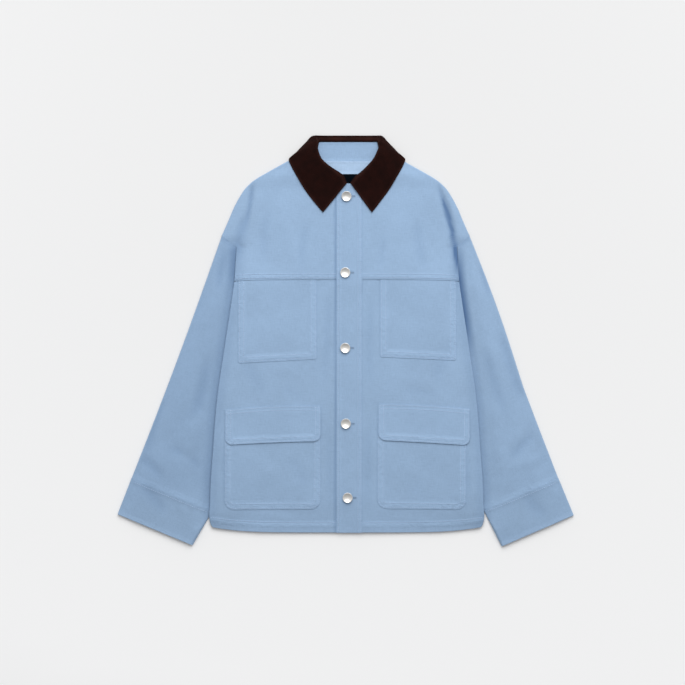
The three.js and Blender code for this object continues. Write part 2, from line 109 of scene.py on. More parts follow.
# Half widths of the body, from hem to underarm and from armhole to neck
Width = namedtuple("Width", "height half_width")
BODY = [
    Width(-347, 246.4),
    Width(-345, 249),
    Width(-342, 251.2),
    Width(-338, 252.6),
    Width(-298, 253.1),
    Width(-195, 247.2),
    Width(-106, 240),
    Width(-17, 227.1),
    Width(72, 213.6),
    Width(111, 208.1),
    Width(146, 206),
    Width(UNDERARM, 204.6),
]
SHOULDER = [
    Width(ARMHOLE_TOP, 229.5),
    Width(223.6, 216.8),
    Width(249.5, 205.7),
    Width(268, 195.5),
    Width(282.8, 185.5),
    Width(297.6, 169),
    Width(312.4, 144),
    Width(NECK_SEAM, 107.6),
]

# Ends of each sleeve's lines at the cuff seam and of the cuff's lines at its edge
Sleeve = namedtuple("Sleeve", "name side seam_outer seam_inner end_outer end_inner")
SLEEVES = [
    Sleeve("right", -1, (396.2, -253.7), (246.7, -314.8), (422.5, -320.9), (283.7, -378.4)),
    Sleeve("left", 1, (393.8, -254.1), (255, -312), (422.5, -322.7), (288.9, -380.5)),
]
SLEEVE_SAG = 3
SLEEVE_BULGE = 5
SLEEVE_BULGE_SHARE = 0.62
SLEEVE_LENGTH = 560
CUFF_DEPTH = 72
CUFF_FLARE = 0.5
UNDERARM_LAP = 0.1
MOST_TUCK = 48
TUCK_START = 0.06
RISE_WIDTH = 100
COLLAR_LIFT = 2.4
COLLAR_LIFT_START = 279
COLLAR_LIFT_FULL = 311

PLACKET_LEFT = -16.8
PLACKET_RIGHT = 30.2
PLACKET_BOTTOM = -355.2
DISH_BOTTOM = 1.35
DISH_DEPTH = 2.1
Button = namedtuple("Button", "x height tilt")
BUTTONS = [
    Button(1.6, 267.8, 7),
    Button(-0.8, 126.4, 0),
    Button(-0.8, -13.2, 0),
    Button(0.3, -153.1, 0),
    Button(3.6, -290.2, 0),
]

# Pockets and flaps: their sides, the heights of their four corners, corner radius, and bow of their edges
Patch = namedtuple("Patch", "name inner outer inner_top outer_top inner_bottom outer_bottom corner bow")
POCKETS = [
    Patch("chest_pocket_right", -53.7, -198.8, 122, 121, -33.6, -41.3, 4, 0),
    Patch("chest_pocket_left", 63.7, 204.5, 122, 120.5, -29.8, -36, 4, 0),
    Patch("hip_pocket_right", -46.5, -224.1, -138, -142, -311.5, -312.5, 18, 0),
    Patch("hip_pocket_left", 58.6, 222.6, -137, -142, -310.5, -312, 18, 0),
]
FLAPS = [
    Patch("pocket_flap_right", -46.2, -222.3, -120.5, -127.4, -185.5, -192.3, 13, 3.2),
    Patch("pocket_flap_left", 60.6, 229.2, -116.6, -125.9, -183.5, -193, 13, 2),
]

# Creases: their ends, sideways bow, half width, and height (a trough is negative)
Crease = namedtuple("Crease", "from_x from_y to_x to_y bow half_width rise")
FRONT_CREASES = [Crease(*row) for row in (
    (-172, 300, -186, 206, 2, 4, -3.0),
    (-180, 244, -210, 136, -2, 10, -2.2),
    (-160, 284, -178, 206, 3, 9, 1.0),
    (-198, 262, -214, 200, 2, 8, 0.8),
    (168, 298, 190, 214, 2, 3.5, -1.6),
    (171, 290, 207, 84, 11, 6, -4.8),
    (182, 288, 206, 214, 4, 4, 1.2),
    (200, 250, 222, 196, 2, 6, 1.0),
    (-124, 262, -98, 128, 4, 10, 0.7),
    (-146, 250, -150, 132, -3, 9, -0.7),
    (-70, 226, -84, 124, -3, 8, -0.7),
    (-40, 214, -30, 130, 3, 7, 0.5),
    (96, 246, 84, 128, 3, 9, 0.7),
    (70, 200, 62, 126, 2, 6, -0.6),
    (132, 232, 148, 122, -4, 9, -0.8),
    (166, 220, 172, 130, 2, 7, 0.6),
    (-150, -48, -58, -72, 5, 13, 0.45),
    (-120, -80, -70, -112, -4, 9, -0.35),
    (70, -56, 190, -82, -5, 12, 0.4),
    (96, -92, 176, -104, 4, 9, -0.35),
    (-200, -20, -150, -110, 5, 12, -0.7),
    (206, 10, 160, -100, -6, 12, -0.6),
    (-196, 60, -180, -60, 4, 12, 0.8),
    (-30, 100, -42, -100, 2, 8, -0.8),
    (46, 96, 44, -108, -2, 8, -0.7),
    (-34, -136, -28, -336, 2, 8, -0.8),
    (44, -126, 40, -336, -2, 8, -0.8),
    (-200, -206, -96, -286, 8, 16, 0.7),
    (-110, -210, -70, -280, 5, 12, -0.6),
    (90, -210, 196, -276, -8, 16, 0.7),
    (150, -216, 120, -300, 4, 12, -0.6),
    (-240, -150, -234, -330, -3, 8, 1.0),
    (-226, -180, -228, -320, 2, 6, -0.9),
    (240, -160, 240, -330, 3, 8, 1.0),
    (228, -190, 230, -310, -2, 6, -0.8),
    (-170, -322, -80, -336, 3, 7, 0.5),
    (80, -326, 180, -334, -3, 7, 0.5),
)]
SLEEVE_CREASES = [Crease(*row) for row in (
    (-222, 186, -250, 60, 4, 8, -1.8),
    (-236, 130, -276, 0, 6, 10, 1.4),
    (-262, 110, -322, -70, -6, 11, -1.3),
    (-272, 60, -340, -190, 5, 14, 1.9),
    (-252, -20, -292, -180, 4, 11, -1.6),
    (-330, -90, -376, -226, -4, 9, -1.5),
    (-268, -110, -316, -262, 6, 12, 1.3),
    (-330, -196, -262, -240, 5, 9, -1.2),
    (-386, -210, -336, -262, 4, 9, -1.2),
    (-380, -262, -330, -330, 4, 12, -1.4),
    (-300, -300, -306, -356, 3, 10, 1.0),
    (230, 176, 252, 60, -3, 8, 1.4),
    (246, 150, 268, 64, 3, 7, -1.3),
    (262, 120, 328, -60, 6, 12, 1.6),
    (282, 44, 344, -150, -5, 10, -1.4),
    (256, 0, 300, -150, -4, 10, -1.2),
    (318, -80, 378, -230, 4, 12, 1.5),
    (268, -100, 300, -262, -6, 12, 1.3),
    (356, -170, 300, -226, -5, 9, -1.3),
    (290, -236, 384, -206, -4, 9, 0.9),
    (330, -276, 376, -330, -5, 12, -1.2),
    (392, -262, 384, -316, 3, 9, 0.9),
)]
BACK_CREASES = [Crease(*row) for row in (
    (-150, 262, -196, 170, 6, 12, 1.0),
    (140, 268, 192, 176, -7, 11, 1.1),
    (-60, 280, -90, 120, 5, 14, 0.8),
    (70, 262, 54, 60, -6, 15, 0.7),
    (-176, 90, -60, 30, 8, 15, 0.9),
    (40, -30, 186, 30, -9, 14, 0.8),
    (-130, -90, 20, -130, 7, 16, 0.7),
    (-190, -230, -110, -320, 5, 13, 0.9),
    (90, -190, 170, -310, -6, 14, 0.8),
    (0, -200, 12, -330, 3, 12, 0.6),
)]

# A leaf's fold reaches more to the wearer's left than to the right, by its shift
LeafSection = namedtuple("LeafSection", "fold_reach shift fold_height fold_rise edge_reach edge_height")
LEAF = [
    LeafSection(4.3, 2, 290.7, 0, 45.3, 238.4),
    LeafSection(11, 3.8, 302.6, 0.6, 54, 248.4),
    LeafSection(20, 4.5, 309.9, 1.6, 62.2, 258),
    LeafSection(36, 1.8, 321.8, 3.2, 76.6, 277),
    LeafSection(50.5, 0.2, 337, 4.4, 91.2, 300.7),
    LeafSection(57, 0.8, 352, 5, 104.7, 325.3),
]

# Sections of the standing part round the neck, each point as reach, height and level
NeckSection = namedtuple("NeckSection", "seam fold bend edge")
NECK = [
    NeckSection((54.6, 358, 7), (57.4, 361, 14), (99, 344.5, 9), (108.4, 337.4, 7.6)),
    NeckSection((53.4, 364, 7), (57.2, 367, 13), (94.8, 349.6, 4.6), (98, 340.5, 0)),
    NeckSection((52.4, 368, 6), (58, 373, 10), (78.4, 366.6, 2.6), (73, 324, 0)),
    NeckSection((49, 369.2, 5.8), (60, 379.6, 6), (66.5, 378.2, 2.4), (53, 314, 0)),
    NeckSection((44, 369.2, 5.4), (50, 380.5, 3.2), (48, 375, 0), (33, 312, 0)),
    NeckSection((0, 369.2, 5.2), (0, 380.5, 2.7), (0, 374, 0), (0, 311, 0)),
]

# On the wearer's left the opening reaches further and the leaf's outer edge less far
NECK_SHIFT = 2.4
LEAF_NARROWING = 1.8

# Where the leaf bends between its fold and edge, and where the fold lies across the whole width
LEAF_BEND = 0.55
FOLD_SHARE = 0.93

# Rims of the fine meshes, then the spacing of their rows and their columns
BORDER_SHARE = 0.12
RIM_SWELL = 0.4
SLOPE_STEP = 3
PANEL_STEP = 4.0
YOKE_STEP = 3.4
SHOULDER_STEP = 2.6
BACK_STEP = 5
PATCH_STEP = 2.2
YOKE_COLUMNS = 56
FRONT_COLUMNS = 58
BACK_COLUMNS = 46
SLEEVE_COLUMNS = 46
CUFF_COLUMNS = 64
RING_TURNS = 7
# Points of the fold beyond a tube's upper face that still take painted shade
SHADED_TURNS = 3

# How far a seam's wear reaches, and the distance of each stitch row from its seam or edge
SEAM_WIDTH = 9
YOKE_STITCHES = (3.6, 10.6)
HEM_STITCH = 18.5
POCKET_STITCHES = (2.6, 10.4)
FLAP_STITCHES = (2.6, 9.6)
FLAP_TOP_STITCHES = (2.4, 8.2)
PLACKET_STITCHES = (3.4, 2.2, 7.6)
CUFF_STITCH = 5.5

# One stitch
STITCH_PITCH = 3.7
STITCH_LENGTH = 2.4
STITCH_RADIUS = 0.5
STITCH_LIFT = 0.12

# Periods of the weaves in metres, and what painted shade leaves of each colour channel
CANVAS_PERIOD = 0.0009
WALE_PERIOD = 0.0019
TWILL_PERIOD = 0.0006
PAINTED_SHADE_SHARE = (0.28, 0.38, 0.52)


def mix(low, high, share):
    return low + (high - low) * share


def ease(start, end, at):
    share = np.clip((np.asarray(at, float) - start) / (end - start), 0, 1)
    return share * share * (3 - 2 * share)


def curve_through(rows, at):
    """A smooth curve through a table's rows, read at any heights."""
    keys = np.array([row[0] for row in rows], float)
    values = np.array([row[1] for row in rows], float)
    steps = np.diff(keys)
    slopes = np.diff(values) / steps
    tangents = np.empty_like(values)
    tangents[0], tangents[-1] = slopes[0], slopes[-1]
    weights = steps[:-1] / (steps[:-1] + steps[1:])
    tangents[1:-1] = mix(slopes[:-1], slopes[1:], weights)
    at = np.clip(at, keys[0], keys[-1])
    index = np.clip(np.searchsorted(keys, at, side="right") - 1, 0, len(keys) - 2)
    step = steps[index]
    t = (at - keys[index]) / step
    return (
        (2 * t**3 - 3 * t**2 + 1) * values[index]
        + (t**3 - 2 * t**2 + t) * step * tangents[index]
        + (3 * t**2 - 2 * t**3) * values[index + 1]
        + (t**3 - t**2) * step * tangents[index + 1]
    )


def soft_noise(x, y, cell, seed):
    """Smooth random relief between -1 and 1, with bumps about one cell across."""
    grid = np.random.default_rng(seed).uniform(-1, 1, (256, 256))
    column = np.asarray(x, float) / cell + 101.3
    row = np.asarray(y, float) / cell + 97.7
    left, low = np.floor(column).astype(int), np.floor(row).astype(int)
    u, v = ease(0, 1, column - left), ease(0, 1, row - low)
    corner = lambda i, j: grid[(low + j) % 256, (left + i) % 256]
    return mix(mix(corner(0, 0), corner(1, 0), u), mix(corner(0, 1), corner(1, 1), u), v)


def crease_relief(creases, x, y):
    """Height of all the creases at a place. Each swells in fast and dies out slowly along its length."""
    total = np.zeros_like(np.asarray(x, float))
    for crease in creases:
        along_x, along_y = crease.to_x - crease.from_x, crease.to_y - crease.from_y
        length = math.hypot(along_x, along_y)
        dx, dy = x - crease.from_x, y - crease.from_y
        share = (dx * along_x + dy * along_y) / length**2
        across = (dy * along_x - dx * along_y) / length
        bow = crease.bow * 4 * np.clip(share, 0, 1) * (1 - np.clip(share, 0, 1))
        fade = ease(0, 0.3, share) * (1 - ease(0.62, 1, share))
        total = total + crease.rise * fade * np.exp(-(((across - bow) / crease.half_width) ** 2))
    return total


# Outlines of the body and sleeves
def side_of(x):
    return np.where(np.asarray(x) < BODY_MIDDLE, -1.0, 1.0)


def body_edge(side, y):
    """Outline of the body on one side, with the slanted armhole seam between its two tables."""
    y = np.asarray(y, float)
    below = BODY_MIDDLE + side * curve_through(BODY, y)
    above = side * curve_through(SHOULDER, y)
    underarm = BODY_MIDDLE + side * BODY[-1].half_width
    seam = mix(underarm, side * SHOULDER[0].half_width, (y - UNDERARM) / (ARMHOLE_TOP - UNDERARM))
    return np.where(y <= UNDERARM, below, np.where(y < ARMHOLE_TOP, seam, above))


def edge_distance(x, y):
    """Distance in from the body's outline."""
    side = side_of(x)
    return side * (body_edge(side, y) - x)


def hem_line(x):
    reach = np.minimum(1, np.abs(x - BODY_MIDDLE) / BODY[0].half_width)
    return HEM + HEM_SIDE_LIFT * reach**5


def yoke_seam_line(x):
    return YOKE_SEAM - YOKE_SEAM_SIDE_DROP * (np.abs(x) / 205) ** 4


def tuck_at(side, share):
    """How far a sleeve reaches in under the body, for a share of its length."""
    share = np.clip(share, 0, 1)
    right, left = (
        abs(float(body_edge(sleeve.side, sleeve.seam_inner[1]))) - sleeve.seam_inner[0] for sleeve in SLEEVES
    )
    hidden = np.clip((share - TUCK_START) / (1 - TUCK_START), 0, 1)
    last = np.where(np.asarray(side) < 0, right, left)
    return mix(-UNDERARM_LAP, last, share) + MOST_TUCK * np.sin(np.pi * hidden**0.8)


def sleeve_inner(sleeve, share):
    """The sleeve's inner line, which runs in under the body, at a share of its length."""
    y = mix(UNDERARM - ARMHOLE_GAP, sleeve.seam_inner[1], share)
    return body_edge(sleeve.side, y) - sleeve.side * tuck_at(sleeve.side, share), y


def sleeve_outer(sleeve, share):
    reach = mix(SHOULDER[0].half_width, sleeve.seam_outer[0], share)
    sag = SLEEVE_SAG * np.sin(np.pi * share)
    if sleeve.side > 0:
        sag = sag - SLEEVE_BULGE * np.sin(np.pi * np.clip(share / SLEEVE_BULGE_SHARE, 0, 1))
    return sleeve.side * (reach - sag), mix(ARMHOLE_TOP - ARMHOLE_GAP, sleeve.seam_outer[1], share)


# Faces of the body
def body_rise(x, y):
    """Height of the body's underside above the table."""
    side = side_of(x)
    last_inner = np.where(side < 0, SLEEVES[0].seam_inner[1], SLEEVES[1].seam_inner[1])
    tuck = tuck_at(side, (UNDERARM - y) / (UNDERARM - last_inner))
    over_sleeve = 1 - ease(tuck + 3, tuck + 3 + RISE_WIDTH, edge_distance(x, y))
    from_underarm = 1 - ease(UNDERARM - 70, UNDERARM + 30, y)
    from_hem = ease(HEM, HEM + 40, y)
    lift = COLLAR_LIFT * ease(COLLAR_LIFT_START, COLLAR_LIFT_FULL, y)
    return (TUBE_DEPTH + SEAM_GAP) * over_sleeve * from_underarm * from_hem + lift


def front_top(x, y):
    """Upper face of the fronts, before a panel's own laps."""
    depth = edge_distance(x, y)
    relief = crease_relief(FRONT_CREASES, x, y)
    relief = relief + 0.5 * soft_noise(x, y, 46, 3) + 0.2 * soft_noise(x, y, 19, 4)
    by_underarm = ease(70, 140, y) * (1 - ease(UNDERARM - 2, ARMHOLE_TOP - 2, y))
    sink = EDGE_SINK * by_underarm * (1 - ease(0, 24, depth))
    by_hem = 1 - ease(0, HEM_SINK_REACH, y - hem_line(x))
    puff = FRONT_PUFF * ease(0, 44, depth) * (1 - by_hem)
    height = TUBE_DEPTH + puff + relief * ease(1, 14, depth) - sink - HEM_SINK * by_hem
    return body_rise(x, y) + np.maximum(height, LEAST_DEPTH)


def pocket_under_yoke(x):
    """1 where a chest pocket's top lies under the yoke, 0 beside it."""
    under = 0
    for pocket in POCKETS[:2]:
        low, high = sorted([pocket.inner, pocket.outer])
        under = under + ease(low - 10, low, x) * (1 - ease(high, high + 10, x))
    return under


def yoke_lap(x, y):
    """How far the yoke is lifted by the front's upper edge and the pockets under it."""
    above = 1 - ease(YOKE_SEAM + YOKE_LAP, YOKE_SEAM + YOKE_LAP + 70, y)
    layers = CANVAS_WALL + PATCH_GAP + pocket_under_yoke(x) * (POCKET_WALL + PATCH_GAP)
    return above * layers * ease(0, 6, edge_distance(x, y))


def yoke_top(x, y):
    return front_top(x, y) + yoke_lap(x, y)


def placket_top(x, y):
    below = ease(YOKE_SEAM - 30, YOKE_SEAM - 4, y)
    return front_top(x, y) + CANVAS_WALL + PLACKET_GAP + yoke_lap(x, y) * below


def pocket_top(x, y):
    return front_top(x, y) + PATCH_GAP + POCKET_WALL


def flap_top(flap, x, y):
    top, bottom = patch_lines(flap, x)
    cover = 1 - ease(flap.outer_top - 7, flap.outer_top + 6, y)
    raised = FLAP_LIFT * (1 - ease(0, FLAP_LIFT_REACH, y - bottom))
    return pocket_top(x, y) + cover * (POCKET_WALL + PATCH_GAP) + raised


def groove(distance, width=1.6, depth=0.45):
    """The dent that a row of stitches pulls into the cloth."""
    return -depth * np.exp(-((distance / width) ** 2))


def unit(vectors):
    return vectors / np.maximum(np.linalg.norm(vectors, axis=-1, keepdims=True), 1e-9)


def lengths_along(points):
    """Distance of each point along a line of points, from the first."""
    return np.concatenate([[0], np.cumsum(np.linalg.norm(np.diff(points, axis=0), axis=1))])


def quads(grid):
    """Four corners of each cell of a grid of numbers or points."""
    return np.stack([grid[:-1, :-1], grid[:-1, 1:], grid[1:, 1:], grid[1:, :-1]], 2)


# Meshes
def grid_normals(points, closed):
    if closed:
        across = np.roll(points, -1, 1) - np.roll(points, 1, 1)
    else:
        across = np.gradient(points, axis=1)
    return unit(np.cross(across, np.gradient(points, axis=0)))


def rim_loops(rows, columns, closed):
    """A grid's border in the faces' turning direction, as pairs of row and column."""
    down, across = np.arange(rows), np.arange(columns)
    first = np.stack([0 * across, across], 1)
    last = np.stack([0 * across + rows - 1, across], 1)[::-1]
    if closed:
        return [first, last]
    right = np.stack([down, 0 * down + columns - 1], 1)
    left = np.stack([down, 0 * down], 1)[::-1]
    return [np.concatenate([line[:-1] for line in (first, right, last, left)])]


def with_border(values, axis):
    """A grid with its first and last rows repeated a short way inside, so that shading keeps to the rim."""
    lines = np.moveaxis(values, axis, 0)
    near_first = mix(lines[:1], lines[1:2], BORDER_SHARE)
    near_last = mix(lines[-1:], lines[-2:-1], BORDER_SHARE)
    bordered = np.concatenate([lines[:1], near_first, lines[1:-1], near_last, lines[-1:]])
    return np.moveaxis(bordered, 0, axis)


def new_piece(name, points, faces, material):
    """A smooth mesh in the scene, from points in mm."""
    mesh = bpy.data.meshes.new(name)
    mesh.from_pydata((np.asarray(points) * METRE).tolist(), [], faces)
    mesh.polygons.foreach_set("use_smooth", [True] * len(mesh.polygons))
    mesh.materials.append(material)
    mesh.validate()
    piece = bpy.data.objects.new(f"{name}_fine", mesh)
    bpy.context.scene.collection.objects.link(piece)
    return piece


def point_attribute(mesh, name, values):
    attribute = mesh.attributes.new(name, "FLOAT", "POINT")
    attribute.data.foreach_set("value", np.concatenate(values).astype(np.float32))


def cloth_wall(name, points, wall, material, *, normals=None, closed=False, uv=None, seam=0.0, painted_shade=0.0):
    """A closed wall of cloth: a grid of outer points in mm, a second grid one wall inside, round rims."""
    found = grid_normals(points, closed)
    if normals is not None:
        found = np.where(np.isnan(normals), found, normals)
    plain = np.zeros(points.shape[:2])
    uv = points[..., :2] if uv is None else uv
    grids = [points, found, plain + wall, plain + seam, plain + painted_shade, uv]
    for axis in (0,) if closed else (0, 1):
        grids = [with_border(grid, axis) for grid in grids]
    points, found, thickness, seam, painted_shade, uv = grids
    inner = points - found * thickness[..., None]
    rows, columns = points.shape[:2]
    count = rows * columns
    index = np.arange(count).reshape(rows, columns)
    wide, uv_wide = index, uv
    if closed:
        period = np.linalg.norm(points[:, :1] - points[:, -1:], axis=2)
        last = uv[:, -1:] + np.stack([period, np.zeros_like(period)], -1)
        wide, uv_wide = np.concatenate([index, index[:, :1]], 1), np.concatenate([uv, last], 1)
    outer_faces, face_uv = quads(wide).reshape(-1, 4), quads(uv_wide).reshape(-1, 4, 2)
    faces = [outer_faces, outer_faces[:, ::-1] + count]
    uvs = [face_uv, face_uv[:, ::-1]]
    vertices = [points.reshape(-1, 3), inner.reshape(-1, 3)]
    seams, painted_shades = [seam.reshape(-1)] * 2, [painted_shade.reshape(-1)] * 2
    start = 2 * count
    lowest = (1, 0) if closed else (1, 1)
    highest = (rows - 2, columns - 1 if closed else columns - 2)
    for border in rim_loops(rows, columns, closed):
        at, inside = tuple(border.T), tuple(np.clip(border, lowest, highest).T)
        outward = unit(points[at] - points[inside])
        swell = (thickness[at] * RIM_SWELL)[:, None]
        vertices.append((points[at] + inner[at]) / 2 + outward * swell)
        a, m = index[at], start + np.arange(len(border))
        b, n = np.roll(a, -1), np.roll(m, -1)
        faces += [np.stack([b, a, m, n], 1), np.stack([n, m, a + count, b + count], 1)]
        next_uv = np.roll(uv[at], -1, 0)
        uvs += [np.stack([next_uv, uv[at], uv[at], next_uv], 1)] * 2
        seams.append(seam[at])
        painted_shades.append(painted_shade[at])
        start += len(border)
    placed = np.concatenate(vertices)
    placed[:, 2] = np.maximum(placed[:, 2], 0)
    piece = new_piece(name, placed, np.concatenate(faces).tolist(), material)
    layer = piece.data.uv_layers.new(name="cloth")
    layer.data.foreach_set("uv", (np.concatenate(uvs).reshape(-1) * METRE).astype(np.float32))
    point_attribute(piece.data, "seam", seams)
    # Painted shade of each point goes to the material as a point attribute
    point_attribute(piece.data, "painted_shade", painted_shades)
    return piece


def dress(piece, slot, *nodes):
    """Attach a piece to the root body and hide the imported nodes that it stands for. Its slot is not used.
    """
    if nodes:
        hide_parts(*nodes)
    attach(piece, "root")
    return piece


# Materials
class Nodes:
    """Short calls for a material's nodes and links."""

    def __init__(self, name):
        self.material = bpy.data.materials.new(name)
        self.material.use_nodes = True
        self.tree = self.material.node_tree
        self.shader = self.tree.nodes["Principled BSDF"]
        self.material.diffuse_color = (0.3, 0.4, 0.6, 1)

    def fill(self, node, inputs):
        """Set each input to its number or colour, or link it to another node's output."""
        for key, value in inputs.items():
            if isinstance(value, bpy.types.NodeSocket):
                self.tree.links.new(value, node.inputs[key])
            else:
                node.inputs[key].default_value = value

    def add(self, kind, inputs=None, **settings):
        node = self.tree.nodes.new(kind)
        for key, value in settings.items():
            setattr(node, key, value)
        self.fill(node, inputs or {})
        return node

    def finish(self, inputs):
        """Fill the shader's own inputs and give the material back."""
        self.fill(self.shader, inputs)
        return self.material

    def attribute(self, name):
        return self.add("ShaderNodeAttribute", attribute_name=name).outputs["Fac"]

    def cloth_position(self, scale=(1, 1, 1), turn=0.0):
        uv = self.add("ShaderNodeUVMap", uv_map="cloth").outputs["UV"]
        inputs = {"Vector": uv, "Scale": scale, "Rotation": (0, 0, turn)}
        return self.add("ShaderNodeMapping", inputs).outputs["Vector"]

    def math(self, operation, first, second=0.0, third=1.0):
        return self.add("ShaderNodeMath", {0: first, 1: second, 2: third}, operation=operation).outputs[0]

    def weighted(self, *parts):
        """Sum of values, each times its share."""
        total = None
        for value, share in parts:
            part = self.math("MULTIPLY", value, share)
            total = part if total is None else self.math("ADD", total, part)
        return total

    def noise(self, scale, detail=3.0, stretch=(1, 1, 1)):
        inputs = {"Vector": self.cloth_position(stretch), "Scale": scale, "Detail": detail}
        return self.add("ShaderNodeTexNoise", inputs).outputs["Fac"]

    def object_noise(self, scale, detail):
        place = self.add("ShaderNodeTexCoord").outputs["Object"]
        inputs = {"Vector": place, "Scale": scale, "Detail": detail}
        return self.add("ShaderNodeTexNoise", inputs).outputs["Fac"]

    def waves(self, period, direction, turn=0.0):
        place = self.cloth_position(turn=turn)
        inputs = {"Vector": place, "Scale": 2 * math.pi / period / 20, "Distortion": 0.0}
        return self.add("ShaderNodeTexWave", inputs, bands_direction=direction).outputs["Fac"]

    def ramp(self, value, stops):
        node = self.add("ShaderNodeValToRGB", {"Fac": value})
        elements = node.color_ramp.elements
        for position, colour in stops[1:-1]:
            elements.new(position).color = (*colour, 1)
        elements[0].position, elements[0].color = stops[0][0], (*stops[0][1], 1)
        elements[-1].position, elements[-1].color = stops[-1][0], (*stops[-1][1], 1)
        return node.outputs["Color"]

    def blend(self, factor, first, second):
        """Mix two colours. The node's colour sockets share names with its others, so they go by place."""
        node = self.add("ShaderNodeMix", {0: factor, 6: first, 7: (*second, 1)}, data_type="RGBA")
        return node.outputs[2]

    def bump(self, height, strength, distance, under=None):
        inputs = {"Height": height, "Strength": strength, "Distance": distance}
        if under is not None:
            inputs["Normal"] = under
        return self.add("ShaderNodeBump", inputs).outputs["Normal"]


def shade(colour, factor):
    """A colour made lighter or darker."""
    return tuple(min(1.0, channel * factor) for channel in colour)


def canvas_material(name, colour):
    """Cotton canvas: a plain weave of slightly uneven threads, with slubs and worn seams, darkened by painted
    shade where its shade attribute is high.
    """
    nodes = Nodes(name)
    weave = nodes.weighted((nodes.waves(CANVAS_PERIOD, "X"), 0.5), (nodes.waves(CANVAS_PERIOD, "Y"), 0.5))
    slub_down, slub_across = nodes.noise(1.0, 2.0, (900, 70, 1)), nodes.noise(1.0, 2.0, (60, 800, 1))
    slubs = nodes.weighted((slub_down, 0.5), (slub_across, 0.5))
    mottle = nodes.noise(260)
    tone = nodes.weighted((slubs, 0.6), (mottle, 0.15), (nodes.noise(14), 0.25))
    base = nodes.ramp(tone, [(0.3, shade(colour, 0.86)), (0.5, colour), (0.7, shade(colour, 1.12))])
    seam = nodes.attribute("seam")
    worn = nodes.blend(nodes.math("MULTIPLY", seam, 0.2), base, shade(colour, 1.25))
    painted_shade_colour = tuple(channel * share for channel, share in zip(colour, PAINTED_SHADE_SHARE))
    puckered = nodes.bump(nodes.math("MULTIPLY", nodes.noise(150, 2.0), seam), 0.8, 0.0016)
    slubbed = nodes.bump(nodes.math("ADD", slubs, mottle), 0.35, 0.0006, puckered)
    return nodes.finish({
        # Painted shade: the colour darkens towards a share of itself where the point attribute is high
        "Base Color": nodes.blend(nodes.attribute("painted_shade"), worn, painted_shade_colour),
        "Normal": nodes.bump(weave, 0.5, 0.00025, slubbed),
        "Roughness": 0.88,
        "Specular IOR Level": 0.2,
        "Sheen Weight": 0.12,
        "Sheen Roughness": 0.5,
    })


def corduroy_material(colour):
    """Fine corduroy: soft wales across the collar, with a napped top, lighter towards its edges and fold."""
    nodes = Nodes("corduroy")
    wales, nap, brushed = nodes.waves(WALE_PERIOD, "X"), nodes.noise(1500), nodes.noise(55)
    tone = nodes.weighted((wales, 0.35), (brushed, 0.45), (nap, 0.2))
    base = nodes.ramp(tone, [(0.25, shade(colour, 0.5)), (0.5, colour), (0.75, shade(colour, 2.6))])
    lighter_edges = nodes.math("MULTIPLY", nodes.attribute("seam"), nodes.math("MULTIPLY", brushed, 0.9))
    return nodes.finish({
        # Lighter brown towards the edges and fold, in patches
        "Base Color": nodes.blend(lighter_edges, base, (0.034, 0.012, 0.009)),
        "Normal": nodes.bump(nap, 0.4, 0.0003, nodes.bump(wales, 0.7, 0.0006)),
        "Roughness": 0.95,
        "Specular IOR Level": 0.1,
        "Sheen Weight": 0.07,
        "Sheen Roughness": 0.4,
        "Sheen Tint": (0.5, 0.2, 0.15, 1),
    })


def lining_material(colour):
    """Smooth twill lining, near black."""
    nodes = Nodes("lining")
    twill = nodes.waves(TWILL_PERIOD, "X", math.radians(60))
    return nodes.finish({
        "Base Color": nodes.ramp(nodes.noise(90), [(0.3, shade(colour, 0.7)), (0.7, shade(colour, 1.6))]),
        "Normal": nodes.bump(twill, 0.3, 0.0002),
        "Roughness": 0.8,
        "Specular IOR Level": 0.04,
    })


def metal_material(colour):
    """Bright turned metal with a faint grain and small dull spots."""
    nodes = Nodes("button_metal")
    spots = nodes.object_noise(900, 4)
    rough = nodes.add("ShaderNodeMapRange", {"Value": spots, "To Min": 0.34, "To Max": 0.5})
    return nodes.finish({
        "Base Color": nodes.ramp(spots, [(0.3, shade(colour, 0.85)), (0.7, colour)]),
        "Normal": nodes.bump(spots, 0.15, 0.0001),
        "Roughness": rough.outputs["Result"],
        "Metallic": 1.0,
    })


def thread_material(name, colour):
    """Sewing thread with uneven fibres."""
    nodes = Nodes(name)
    fibres = nodes.object_noise(2500, 2)
    return nodes.finish({
        "Base Color": nodes.ramp(fibres, [(0.3, shade(colour, 0.85)), (0.7, shade(colour, 1.1))]),
        "Normal": nodes.bump(fibres, 0.3, 0.0002),
        "Roughness": 0.6,
    })


canvas = canvas_material("canvas", (0.255, 0.369, 0.526))
facing_cloth = canvas_material("facing_cloth", (0.33, 0.452, 0.617))
corduroy = corduroy_material((0.0078, 0.0014, 0.0008))
lining = lining_material((0.0003, 0.0018, 0.0042))
metal = metal_material((0.9, 0.88, 0.845))
thread = thread_material("thread", (0.39, 0.51, 0.68))
buttonhole_thread = thread_material("buttonhole_thread", (0.17, 0.25, 0.37))


# Body panels
def folded_columns(inner_x, edge_x, steepness, count, folded):
    """Column positions from one x to a folded edge, and how far each is turned round the fold."""
    side = np.sign(edge_x - inner_x)
    turns = np.radians(np.arange(15, 91, 15))
    fold_width = FOLD_RADIUS / steepness
    flat = np.linspace(inner_x, edge_x - side * fold_width, count)
    rounded = edge_x - side * fold_width * (1 - np.sin(turns))
    return np.concatenate([flat, rounded]), np.concatenate([np.zeros(count), turns * folded])


def edge_steepness(side, y):
    """1 where the outline runs straight along the body, less where it slopes over the shoulder."""
    if y <= ARMHOLE_TOP:
        return 1.0
    slope = float(body_edge(side, y + SLOPE_STEP) - body_edge(side, y - SLOPE_STEP)) / (2 * SLOPE_STEP)
    return 1 / math.hypot(1, slope)


